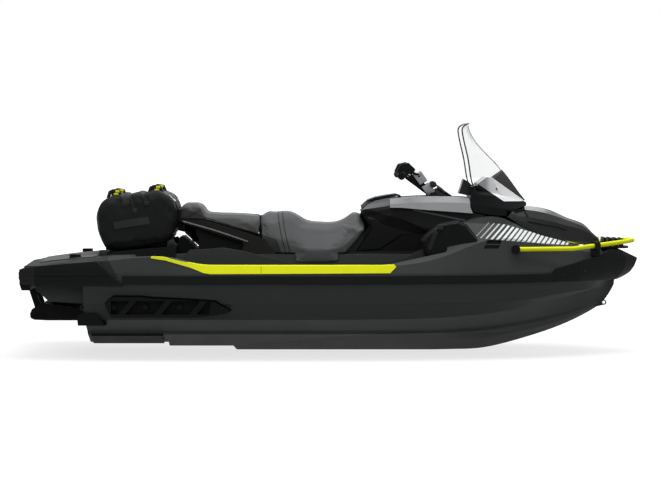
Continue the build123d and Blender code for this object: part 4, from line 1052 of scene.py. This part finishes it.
def settle(
    name: str, mesh: bpy.types.Mesh, finish: Finish, body: str = ROOT, smooth_deg: float = 35.0
) -> bpy.types.Object:
    """Make a piece of a mesh, with its finish, riding on a body.

    Args:
        name: Name of the piece.
        mesh: Its mesh.
        finish: Its finish.
        body: CAD body that it rides on.
        smooth_deg: Edges sharper than this stay crisp.

    Returns:
        The piece.
    """
    for face in mesh.polygons:
        face.use_smooth = True
    mesh.set_sharp_from_angle(angle=math.radians(smooth_deg))
    mesh.materials.clear()
    mesh.materials.append(finish.build())
    made = linked(name, mesh)
    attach(made, body)
    LOG.info("%s: %d faces", name, len(mesh.polygons))
    return made


def dress(finish: Finish, *nodes: str) -> None:
    """Give CAD nodes a finish.

    Args:
        finish: The finish.
        nodes: Names of the nodes.
    """
    for node in nodes:
        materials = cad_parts[node].data.materials
        materials.clear()
        materials.append(finish.build())
        LOG.info("%s: %s", node, finish.name)


def merged_copy(node: str) -> bmesh.types.BMesh:
    """Copy a CAD node's mesh, with its loose triangles joined.

    Args:
        node: Name of the node.

    Returns:
        The copy.
    """
    bm = bmesh.new()
    bm.from_mesh(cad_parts[node].data)
    bmesh.ops.remove_doubles(bm, verts=bm.verts[:], dist=CAD_WELD)
    bmesh.ops.recalc_face_normals(bm, faces=bm.faces[:])
    return bm


@dataclass(frozen=True)
class Band:
    """A flat strap, as it lies on the port side."""

    route: Outline
    width: float
    thick: float = 0.0025


class Surface:
    """A finished surface, on which straps, piping and screws are laid."""

    LIFT = 0.0012  # from the surface up to a strap
    STEPS = 7  # rows of a strap between two points of its route

    def __init__(self, mesh: bpy.types.Mesh) -> None:
        """Read the surface of a mesh."""
        spots = [v.co.copy() for v in mesh.vertices]
        self.tree = BVHTree.FromPolygons(spots, [tuple(p.vertices) for p in mesh.polygons])

    @classmethod
    def of(cls, node: str) -> "Surface":
        """Surface of a CAD node."""
        return cls(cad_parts[node].data)

    def side(self, x: float, z: float, hand: int) -> tuple[Vector, Vector]:
        """Point and normal where the side view's line meets the surface.

        Args:
            x: Place along the craft.
            z: Height.
            hand: 1 for port, -1 for starboard.

        Returns:
            The point and the normal there.
        """
        spot, normal, _, _ = self.tree.ray_cast(Vector((x, hand * 2.0, z)), Vector((0.0, -hand, 0.0)))
        return (Vector((x, hand * 0.2, z)), Vector((0.0, hand, 0.0))) if spot is None else (spot, normal)

    def near(self, spot: Point) -> tuple[Vector, Vector]:
        """Nearest point of the surface, and its normal."""
        found, normal, _, _ = self.tree.find_nearest(Vector(spot))
        return found, normal

    def strap(self, shape: Shape, band: Band, hand: int) -> None:
        """Lay a flat strap on the surface.

        Args:
            shape: Shape that it is added to.
            band: The strap, as it lies to port.
            hand: 1 for port, -1 for starboard.
        """
        route = [(x, y * hand, z) for x, y, z in band.route]
        rows = [self.near(spot) for spot in (*sampled(route, self.STEPS), route[-1])]
        bm = bmesh.new()
        made = bmesh.ops.create_grid(bm, x_segments=len(rows) - 1, y_segments=1, size=0.5)["verts"]
        made.sort(key=lambda v: (round(v.co.x, 5), v.co.y))
        for n, (spot, normal) in enumerate(rows):
            ahead = rows[min(n + 1, len(rows) - 1)][0] - rows[max(n - 1, 0)][0]
            across = ahead.cross(normal).normalized()
            for share, vert in zip((-0.5, 0.5), made[2 * n:2 * n + 2]):
                edge, lift = self.near(spot + across * band.width * share)
                vert.co = edge + lift * self.LIFT
        bmesh.ops.recalc_face_normals(bm, faces=bm.faces[:])
        middle = bm.faces[:][len(bm.faces) // 2]
        if middle.normal.dot(rows[len(rows) // 2][1]) < 0:
            bmesh.ops.reverse_faces(bm, faces=bm.faces[:])
        bmesh.ops.solidify(bm, geom=bm.faces[:], thickness=-band.thick)
        shape.absorb(bm)

    def block(self, shape: Shape, x: float, z: float, hand: int, half: Point, bevel: float) -> None:
        """Set a small block, given by half its sizes, in the surface on one hand."""
        middle, reach = Vector((x, self.side(x, z, hand)[0].y, z)), Vector(half)
        shape.box(middle - reach, middle + reach, bevel)

    def pipe(self, shape: Shape, route: Sequence[Point], radius: float) -> None:
        """Lay a round welt on the surface."""
        shape.swept([self.near(spot)[0] for spot in route], radius, 6)

    def screw(self, shape: Shape, x: float, z: float, hand: int, radius: float = 0.006) -> None:
        """Set a low domed screw head in the surface on one hand."""
        spot, normal = self.side(x, z, hand)
        shape.rod(spot - normal * 0.004, spot + normal * 0.0025, radius, radius * 0.75, 20, 0.0008)


# ------------------------------------------------------------------------------------ soft goods
@dataclass
class Padding:
    """Turns a closed shape into a stuffed one: remeshed, relaxed, drawn in and blown up a little."""

    voxel: float = 0.006
    shrink: float = 0.003
    pressure: float = 4.0
    cap: float = 0.008
    frames: int = 20
    relax: int = 6
    mass: float = 0.4

    def stuff(self, bm: bmesh.types.BMesh, name: str) -> bpy.types.Mesh:
        """Make the stuffed mesh.

        Args:
            bm: Closed shape, freed here.
            name: Name of the mesh.

        Returns:
            The stuffed mesh.
        """
        block = linked(name, meshed(name, bm))
        remesh = block.modifiers.new("voxels", "REMESH")
        remesh.mode = "VOXEL"
        remesh.voxel_size = self.voxel
        smooth = block.modifiers.new("relaxed", "SMOOTH")
        smooth.factor = 0.5
        smooth.iterations = self.relax
        rest = evaluated(block)
        shifted(rest, [v.co - v.normal * self.shrink for v in rest.vertices])
        block.modifiers.clear()
        block.data = rest
        result = self._blown(block, rest)
        bpy.data.objects.remove(block)
        return result

    def _blown(self, block: bpy.types.Object, rest: bpy.types.Mesh) -> bpy.types.Mesh:
        """Blow the shape up with cloth pressure, no point moving past the cap.

        Args:
            block: Object of the shape.
            rest: Its mesh, drawn in to leave room for the swelling.

        Returns:
            The swollen mesh.
        """
        cloth = block.modifiers.new("cloth", "CLOTH")
        cloth.settings.quality = 5
        cloth.settings.mass = self.mass
        cloth.settings.use_pressure = True
        cloth.settings.uniform_pressure_force = self.pressure
        cloth.settings.effector_weights.gravity = 0.0
        cloth.point_cache.frame_start = 1
        cloth.point_cache.frame_end = self.frames
        scene = bpy.context.scene
        for frame in range(1, self.frames + 1):
            scene.frame_set(frame)
        blown = evaluated(block)
        for vertex, start in zip(blown.vertices, rest.vertices):
            move = vertex.co - start.co
            if move.length > self.cap:
                vertex.co = start.co + move.normalized() * self.cap
        scene.frame_set(1)
        return blown


def cushion(name: str, mesh: bpy.types.Mesh, finish: Finish, fill: float, *nodes: str) -> None:
    """Make a padded piece of a stuffed mesh in place of its CAD nodes.

    Args:
        name: Name of the piece.
        mesh: The stuffed mesh.
        finish: Its finish.
        fill: How firmly it is stuffed; not used.
        nodes: CAD nodes that it stands in for.
    """
    made = settle(name, mesh, finish, smooth_deg=180.0)
    fine = made.modifiers.new("fine", "SUBSURF")
    fine.levels = fine.render_levels = 1
    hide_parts(*nodes)


@dataclass
class Seats:
    """Front and rear seat cushions on their firm base, with the grab rail's pale edge."""

    padding: Padding = field(default_factory=Padding)
    fills: tuple[tuple[str, float], ...] = (("seat_front", 0.85), ("seat_rear", 0.8))
    joint_x: float = -0.4265
    joint_half: float = 0.006
    joint: Outline = (
        (-0.19, 0.375), (0.19, 0.375), (0.192, 0.5), (0.14, 0.575), (-0.14, 0.575), (-0.192, 0.5),
    )
    tail_half: float = 0.15
    tail: Outline = (
        (-0.93, 0.62), (-0.86, 0.62), (-0.79, 0.42), (-0.835, 0.42), (-0.862, 0.475), (-0.925, 0.49),
        (-0.935, 0.53),
    )
    bead: Outline = ((-0.003, -0.0035), (0.003, -0.0035), (0.003, 0.0035), (-0.003, 0.0035))
    bead_route: Outline = (
        (-0.893, -0.213, 0.549), (-0.755, -0.2225, 0.512), (-0.634, -0.2235, 0.474), (-0.543, -0.2215, 0.441),
        (-0.5, -0.217, 0.427),
    )

    def build(self) -> None:
        """Stuff both cushions, fill the joint between them with painted shadow and dress the base."""
        for node, fill in self.fills:
            name = f"{node}_cushion"
            cushion(name, self.padding.stuff(merged_copy(node), name), Paint.VINYL, fill, node)
        dress(Paint.BASE, "seat_base")
        dress(Paint.BLACK, "grab_handle")
        # near-black block in the joint between the cushions, painted shadow
        fore, aft = self.joint_x + self.joint_half, self.joint_x - self.joint_half
        Shape().slab(self.joint, Face.END, aft, fore, 0.002).piece("seat_joint", Paint.SHADOW_FILL)
        tail = Shape().slab(self.tail, Face.SIDE, -self.tail_half, self.tail_half, 0.006)
        tail.piece("seat_tail", Paint.BLACK)
        Shape().swept(self.bead_route, self.bead).mirrored().piece("grab_rail_bead", Paint.EDGE)


@dataclass
class Cargo:
    """Rear cargo base and the soft bag strapped to it."""

    padding: Padding = field(default_factory=lambda: Padding(voxel=0.0075, cap=0.005, pressure=2.0))
    half_width: float = 0.236
    corner: float = 0.036
    profile: Outline = (
        (-1.366, 0.374), (-1.22, 0.372), (-1.1, 0.386), (-1.0, 0.408), (-0.955, 0.44), (-0.932, 0.54),
        (-0.928, 0.66), (-0.962, 0.716), (-1.03, 0.736), (-1.18, 0.727), (-1.33, 0.703), (-1.392, 0.676),
        (-1.418, 0.6), (-1.412, 0.48),
    )
    gathers: Outline = ((-1.215, 0.028), (-1.13, 0.02))
    gather_depth: float = 0.014
    slack: tuple[tuple[Point, float], ...] = (((9, 9, 9), 0.005), ((24, 24, 15), 0.002))
    fold_depth: float = 0.003
    drawn_in: float = 0.001
    straps: tuple[Band, ...] = (
        Band(((-1.262, 0.04, 0.73), (-1.255, 0.2, 0.7), (-1.222, 0.24, 0.645)), 0.034),
        Band(((-1.212, 0.04, 0.73), (-1.205, 0.2, 0.7), (-1.172, 0.24, 0.588)), 0.02),
        Band(((-1.15, 0.04, 0.735), (-1.14, 0.2, 0.71), (-1.098, 0.24, 0.648)), 0.03),
    )
    loop: Band = Band(((-1.306, 0.24, 0.522), (-1.2, 0.24, 0.54), (-1.094, 0.24, 0.556)), 0.044, 0.003)
    buckles: Outline = ((-1.235, 0.66, 0.024), (-1.181, 0.615, 0.016), (-1.106, 0.66, 0.02))
    handles: Outline = ((-1.312, 0.7), (-1.064, 0.726))
    handle: Outline = (
        (-0.05, -0.014), (-0.036, 0.03), (-0.01, 0.042), (0.034, 0.036), (0.056, -0.014), (0.036, -0.014),
        (0.022, 0.014), (-0.004, 0.02), (-0.02, 0.012), (-0.03, -0.014),
    )
    welts: tuple[Outline, Outline] = (
        (
            (-1.03, 0.1, 0.74), (-1.008, 0.2, 0.715), (-0.992, 0.235, 0.66), (-0.976, 0.235, 0.54),
            (-0.985, 0.22, 0.44),
        ),
        ((-1.37, 0.1, 0.69), (-1.384, 0.2, 0.66), (-1.39, 0.225, 0.56), (-1.385, 0.22, 0.44)),
    )
    welt_radius: float = 0.0035
    end_strap: Band = Band(((-0.955, 0.13, 0.72), (-0.94, 0.13, 0.6), (-0.945, 0.13, 0.47)), 0.024)
    tape: Band = Band(((-0.985, 0.19, 0.69), (-0.95, 0.16, 0.675), (-0.94, 0.1, 0.668)), 0.014)
    pad: Outline = ((-1.362, 0.372), (-1.0, 0.395), (-0.955, 0.46), (-1.362, 0.42))
    pad_half: float = 0.2
    latch: Outline = ((-1.404, 0.33), (-1.394, 0.376), (-1.352, 0.376), (-1.343, 0.33))
    hook: Outline = ((-0.992, 0.392), (-0.985, 0.432), (-0.95, 0.44), (-0.93, 0.4))

    def build(self) -> None:
        """Stuff the bag, crease it, then lay its handles, straps and tape on it."""
        dress(Paint.BLACK, "cargo_base")
        form = Shape().slab(self.profile, Face.SIDE, -self.half_width, self.half_width, self.corner, 4)
        bmesh.ops.recalc_face_normals(form.bm, faces=form.bm.faces[:])
        mesh = self.padding.stuff(form.bm, "cargo_bag_body")
        self._crease(mesh)
        cushion("cargo_bag_body", mesh, Paint.CLOTH, 0.75, "cargo_bag")
        skin = Surface(mesh)
        self._straps(skin)
        self._handles()
        self._trim(skin)
        Shape().slab(self.pad, Face.SIDE, -self.pad_half, self.pad_half, 0.01).piece("bag_pad", Paint.BLACK)
        self._brackets()

    def _crease(self, mesh: bpy.types.Mesh) -> None:
        """Gather the top edge under the straps and slacken the cloth all over.

        Args:
            mesh: The stuffed bag.
        """
        moves = []
        for vertex in mesh.vertices:
            spot = vertex.co
            high = min(1.0, max(0.0, (spot.z - 0.55) / 0.14))
            pull = sum(math.exp(-(((spot.x - x) / width) ** 2)) for x, width in self.gathers)
            slack = sum(
                noise.noise(Vector(a * b for a, b in zip(spot, scale))) * depth for scale, depth in self.slack
            )
            fold = abs(math.sin((spot.x * 1.4 + spot.z) * 26.0)) * self.fold_depth * high
            out = slack - self.drawn_in - fold - pull * high * self.gather_depth
            moves.append(spot + vertex.normal * out)
        shifted(mesh, moves)

    def _straps(self, skin: Surface) -> None:
        """Compression straps over the top with their buckles, and the webbing loop on each side.

        Args:
            skin: Surface of the bag.
        """
        bands, loops, buckles = Shape(), Shape(), Shape()
        for hand in HANDS:
            for band in self.straps:
                skin.strap(bands, band, hand)
            skin.strap(loops, self.loop, hand)
            for x, z, half in self.buckles:
                skin.block(buckles, x, z, hand, (half, 0.006, 0.012), 0.003)
        bands.piece("bag_straps", Paint.WEBBING)
        loops.piece("bag_side_loops", Paint.WEBBING_PALE)
        buckles.piece("bag_buckles", Paint.GLOSS_BLACK)

    def _handles(self) -> None:
        """Two padded grab loops on the top of each side, with bright tabs."""
        loops, tabs = Shape(), Shape()
        for x, z in self.handles:
            loops.slab([(x + a, z + b) for a, b in self.handle], Face.SIDE, -0.146, -0.114, 0.004)
            tabs.box((x - 0.004, -0.149, z + 0.006), (x + 0.024, -0.111, z + 0.016))
            tabs.box((x + 0.006, -0.1485, z + 0.02), (x + 0.03, -0.1115, z + 0.034))
        loops.mirrored().piece("bag_handles", Paint.WEBBING)
        tabs.mirrored().piece("bag_tabs", Paint.LIME)

    def _trim(self, skin: Surface) -> None:
        """Welts at both ends of the bag, and a strip of pale tape.

        Args:
            skin: Surface of the bag.
        """
        welts, tape = Shape(), Shape()
        for hand in HANDS:
            for route in self.welts:
                skin.pipe(welts, [(x, y * hand, z) for x, y, z in route], self.welt_radius)
            skin.strap(tape, self.tape, hand)
            skin.strap(welts, self.end_strap, hand)
        welts.piece("bag_welts", Paint.WEBBING)
        tape.piece("bag_tape", Paint.REFLECT)

    def _brackets(self) -> None:
        """Latch brackets and tie hooks that hold the bag on its base."""
        metal = Shape().slab(self.latch, Face.SIDE, -0.252, -0.222, 0.004)
        metal.slab(self.hook, Face.SIDE, -0.214, -0.19, 0.004)
        metal.rod((-1.374, -0.262, 0.353), (-1.374, -0.22, 0.353), 0.009, sides=20, bevel=0.002)
        metal.rod((-0.962, -0.222, 0.415), (-0.962, -0.18, 0.415), 0.008, sides=20, bevel=0.002)
        metal.mirrored().piece("bag_brackets", Paint.GREY)


# ------------------------------------------------------------------------------------ hull and deck
@dataclass
class Hull:
    """Hull shell with its rails, bumpers, strips, sponsons and guards."""

    screws: tuple[tuple[str, Outline], ...] = (
        ("stern_bumper", ((-1.319, 0.205), (-1.62, 0.18))),
        ("bow_bumper", ((1.404, 0.234), (1.53, 0.25))),
    )
    strip_joint_x: float = -0.407
    strip_joint_heights: Point = (0.263, 0.276, 0.289)
    strip_joint_half: Point = (0.0015, 0.0012, 0.0066)

    def build(self) -> None:
        """Dress the shell and what is fixed along it."""
        dress(Paint.HULL, "hull")
        dress(Paint.DECK, "deck")
        dress(Paint.BUMPER, "rub_rails", "stern_bumper", "bow_bumper")
        dress(Paint.LIME, "gunwale_strips")
        dress(Paint.BLACK, "sponsons", "chine_guards", "strakes")
        dress(Paint.MAT, "deck_mats")
        heads, seams = Shape(), Shape()
        for node, places in self.screws:
            skin = Surface.of(node)
            for x, z in places:
                for hand in HANDS:
                    skin.screw(heads, x, z, hand)
        strips = Surface.of("gunwale_strips")
        for hand in HANDS:
            for z in self.strip_joint_heights:
                strips.block(seams, self.strip_joint_x, z, hand, self.strip_joint_half, 0.0)
        heads.piece("bumper_screws", Paint.GLOSS_BLACK)
        seams.piece("strip_joints", Paint.OLIVE)


@dataclass
class JetPump:
    """Water jet under the stern."""

    def build(self) -> None:
        """Dress the pump's castings and plates."""
        dress(Paint.ALLOY, "pump_housing", "steering_nozzle", "engine_block")
        dress(Paint.STEEL, "impeller")
        dress(Paint.BLACK, "reverse_gate", "ride_plate", "intake_grate")


@dataclass
class Console:
    """Console between the knees, its trim, pads and pouches."""

    # block that fills the gap at the console's aft foot, painted near black as shadow
    shade_filler: Outline = ((0.17, 0.4), (0.25, 0.42), (0.25, 0.6), (0.19, 0.6), (0.15, 0.52))
    shade_filler_half: float = 0.11
    rim: Outline = ((0.56, 0.462), (0.612, 0.503), (0.66, 0.533), (0.748, 0.548), (0.8, 0.53), (0.862, 0.452))
    rim_radius: float = 0.0035
    strap: Band = Band(((0.648, 0.45, 0.538), (0.618, 0.46, 0.48), (0.585, 0.46, 0.39)), 0.026)

    def build(self) -> None:
        """Dress the console's mouldings."""
        dress(Paint.CONSOLE, "console", "glove_lid")
        dress(Paint.SILVER, "console_cover")
        dress(Paint.BLACK, "knee_pads")
        dress(Paint.POD, "side_pouches")
        self._pouch_trim()
        # the gap filler, painted shadow
        shade_filler = Shape().slab(self.shade_filler, Face.SIDE, -self.shade_filler_half, self.shade_filler_half, 0.01)
        shade_filler.piece("console_shade_filler", Paint.SHADOW_FILL)

    def _pouch_trim(self) -> None:
        """Welt round each pouch's cover, and its strap and buckle."""
        skin = Surface.of("side_pouches")
        welts, straps, buckles = Shape(), Shape(), Shape()
        for hand in HANDS:
            welts.swept([skin.side(x, z, hand)[0] for x, z in self.rim], self.rim_radius, 6)
            skin.strap(straps, self.strap, hand)
            out = skin.side(0.648, 0.52, hand)[0].y
            buckles.box((0.633, out - 0.01, 0.508), (0.668, out + 0.01, 0.538), 0.004)
        welts.piece("pouch_welts", Paint.GREY)
        straps.piece("pouch_straps", Paint.WEBBING)
        buckles.piece("pouch_buckles", Paint.GREY)


@dataclass
class Front:
    """Hood, cowl, windshield and instruments, which tilt together."""

    rim_radius: float = 0.0042
    rim: Outline = (
        (0.878, -0.189, 0.72), (0.852, -0.1995, 0.785), (0.842, -0.207, 0.85), (0.832, -0.2135, 0.92),
        (0.818, -0.2135, 0.98), (0.8055, -0.2115, 1.03), (0.796, -0.207, 1.08), (0.7935, -0.203, 1.105),
        (0.803, -0.198, 1.124), (0.829, -0.1885, 1.1375), (0.835, -0.15, 1.1378), (0.842, -0.08, 1.1378),
        (0.8455, -0.04, 1.1378),
    )
    ridge_share: float = 0.55
    ridge: Outline = (
        (1.19, 0.0, 0.68), (1.105, 0.0, 0.787), (0.983, 0.0, 0.925), (0.92, 0.0, 0.995), (0.885, 0.0, 1.04),
        (0.86, 0.0, 1.085), (0.8465, 0.0, 1.135),
    )
    liner: Outline = (
        (0.87, 0.575), (1.0, 0.57), (1.08, 0.545), (1.2, 0.47), (1.33, 0.425), (1.35, 0.445), (1.22, 0.53),
        (1.08, 0.615), (1.0, 0.64), (0.9, 0.68), (0.87, 0.66),
    )
    liner_out: float = 0.13
    liner_in: float = 0.12

    def build(self) -> None:
        """Dress the front lid, and close the joint round it with inner walls painted dark as shadow."""
        dress(Paint.HOOD, "hood")
        dress(Paint.COWL, "cowl")
        dress(Paint.CLEAR, "windshield")
        dress(Paint.SCREEN, "gauge")
        self._rim()
        # inner walls painted near black, as the shadow seen through the joint
        walls = Shape().slab(self.liner, Face.SIDE, -self.liner_out, -self.liner_in, 0.002)
        walls.mirrored().piece("hood_liner", Paint.SHADOW_FILL, LID)
        heads, skin = Shape(), Surface.of("cowl")
        for hand in HANDS:
            skin.screw(heads, 1.008, 0.742, hand, 0.007)
        heads.piece("screen_screws", Paint.GLOSS_BLACK, LID)

    def _rim(self) -> None:
        """Dense rim along the windshield's free edge, and the ridge down its middle."""
        route = [*self.rim, *((x, -y, z) for x, y, z in reversed(self.rim))]
        lines = Shape().swept(route, self.rim_radius, 6)
        Surface.of("windshield").pipe(lines, sampled(self.ridge, 4), self.rim_radius * self.ridge_share)
        lines.piece("screen_rim", Paint.RIM, LID)


@dataclass
class Steering:
    """Riser, handlebar, grips and levers."""

    foot: Point = (0.628, 0.698)
    lean: float = 35.0
    clamps: tuple[Point, Point] = ((0.012, 0.084), (0.096, 0.17))
    knob_height: float = 0.768
    stay: Outline = ((0.634, -0.062, 0.768), (0.66, -0.062, 0.762), (0.7, -0.05, 0.722))
    stay_radius: float = 0.0055

    def build(self) -> None:
        """Dress what turns with the handlebar."""
        dress(Paint.BLACK, "steering_riser")
        dress(Paint.STEEL, "handlebar")
        dress(Paint.GRIP, "grips")
        dress(Paint.BLACK, "controls")
        self._clamps()
        self._damper()

    def _clamps(self) -> None:
        """Cast clamp blocks up the steering column, with a dark joint between them."""
        x, z = self.foot
        for n, (low, high) in enumerate(self.clamps):
            block = Shape().box((x - 0.03, -0.044, z + low), (x + 0.026, 0.044, z + high), 0.006, 3)
            for side in HANDS:
                for share in (0.3, 0.7):
                    up = z + low + (high - low) * share
                    block.rod((x, side * 0.042, up), (x, side * 0.047, up), 0.0065, 0.0055, 18, 0.001)
            block.turned((x, 0, z), "Y", -self.lean).piece(f"column_clamp_{n + 1}", Paint.CAST, BAR)

    def _damper(self) -> None:
        """Adjusting knob and its stay beside the column."""
        x, z = self.foot[0], self.knob_height
        knobs = Shape().rod((x, -0.082, z), (x, -0.05, z), 0.02, 0.018, 24, 0.003)
        knobs.rod((x, 0.05, z), (x, 0.082, z), 0.018, 0.02, 24, 0.003)
        knobs.piece("column_knobs", Paint.GREY, BAR)
        Shape().swept(self.stay, self.stay_radius).mirrored().piece("column_stays", Paint.EDGE, BAR)


@dataclass
class Fittings:
    """Ladder, eyes, sockets, bow rail and rack."""

    def build(self) -> None:
        """Dress the small fittings."""
        dress(Paint.BLACK, "ladder_frame", "ladder_tread", "ladder_brackets")
        dress(Paint.BLACK, "deck_anchors", "bow_rack", "rail_mounts")
        # the stainless eyes get painted shade
        dress(Paint.SHADED_STEEL, "bow_eye", "stern_eyes")
        dress(Paint.LIME, "bow_rail")


# ------------------------------------------------------------------------------------ studio
@dataclass(frozen=True)
class Lamp:
    """A soft rectangular lamp."""

    name: str
    place: Point
    target: Point
    size: Point
    power: float


@dataclass
class Studio:
    """Floor, backdrop, lamps and camera."""

    distance: float = 13.0
    height: float = 1.039
    aim: float = 0.425
    lens: float = 115.3
    sensor: float = 36.0
    floor_half: float = 60.0
    floor_colour: Colour = (150, 150, 150)
    floor_glow: float = 0.72
    white_from: float = 1.5
    white_over: float = 4.0
    lamps: tuple[Lamp, ...] = (
        Lamp("overhead", (0.2, -0.6, 4.6), (0.0, 0.0, 0.0), (5.2, 2.6), 250.0),
        Lamp("camera_side", (-1.2, -7.5, 3.4), (0.0, 0.0, 0.3), (5.0, 2.4), 70.0),
        Lamp("far_side", (0.8, 6.5, 3.2), (0.0, 0.0, 0.4), (4.0, 2.0), 60.0),
    )

    def build(self) -> None:
        """Set the stage."""
        self._floor()
        self._world()
        for lamp in self.lamps:
            light = bpy.data.lights.new(lamp.name, "AREA")
            light.shape = "RECTANGLE"
            light.size, light.size_y = lamp.size
            light.energy = lamp.power
            self._aimed(lamp.name, light, lamp.place, lamp.target)
        camera = bpy.data.cameras.new("camera")
        camera.lens = self.lens
        camera.sensor_width = self.sensor
        place, target = (0.0, -self.distance, self.height), (0.0, 0.0, self.aim)
        bpy.context.scene.camera = self._aimed("camera", camera, place, target)
        bpy.context.scene.view_settings.view_transform = "Standard"

    def _floor(self) -> None:
        """A pale floor that keeps the shadow and runs out to white."""
        bm = bmesh.new()
        bmesh.ops.create_grid(bm, x_segments=1, y_segments=1, size=self.floor_half)
        bmesh.ops.translate(bm, verts=bm.verts[:], vec=(0, 0, KEEL_Z - FLOOR_GAP))
        floor = linked("studio_floor", meshed("studio_floor", bm))
        sheet = Sheet(bpy.data.materials.new("studio_floor"))
        x, y, _ = sheet.place()
        far = (((x * x + y * y).root() - self.white_from) / self.white_over).held()
        glow = sheet.seen() * (far * 0.4 + self.floor_glow)
        matt = sheet.wire("ShaderNodeBsdfDiffuse", Color=linear(*self.floor_colour))
        light = sheet.wire("ShaderNodeEmission", Color=(1, 1, 1, 1), Strength=glow)
        floor.data.materials.append(sheet.close(sheet.wire("ShaderNodeAddShader", s0=matt, s1=light)))

    @staticmethod
    def _world() -> None:
        """Plain light all round, white to the camera and in reflections."""
        bpy.context.scene.world = bpy.data.worlds.new("studio")
        sheet = Sheet(bpy.context.scene.world)
        plain = sheet.wire("ShaderNodeBackground", Color=(0.96, 0.98, 1.0, 1.0), Strength=0.5)
        white = sheet.wire("ShaderNodeBackground", Color=(1.0, 1.0, 1.0, 1.0), Strength=1.0)
        sheet.close(sheet.wire("ShaderNodeMixShader", s0=sheet.seen(), s1=plain, s2=white))

    @staticmethod
    def _aimed(name: str, data: bpy.types.ID, place: Point, target: Point) -> bpy.types.Object:
        """Stand a lamp or a camera so that it looks at a target.

        Args:
            name: Name of the object.
            data: The lamp or camera.
            place: Where it stands.
            target: What it looks at.

        Returns:
            The object.
        """
        holder = linked(name, data)
        holder.location = place
        holder.rotation_mode = "QUATERNION"
        holder.rotation_quaternion = (Vector(target) - Vector(place)).to_track_quat("-Z", "Y")
        return holder


def main() -> None:
    """Build every sub-assembly's looks in order."""
    logging.basicConfig(level=logging.INFO, format="%(name)s %(message)s")
    for part in (Hull(), JetPump(), Console(), Seats(), Cargo(), Front(), Steering(), Fittings(), Studio()):
        LOG.info("-- %s", type(part).__name__)
        part.build()


if __name__ == "__main__":
    main()
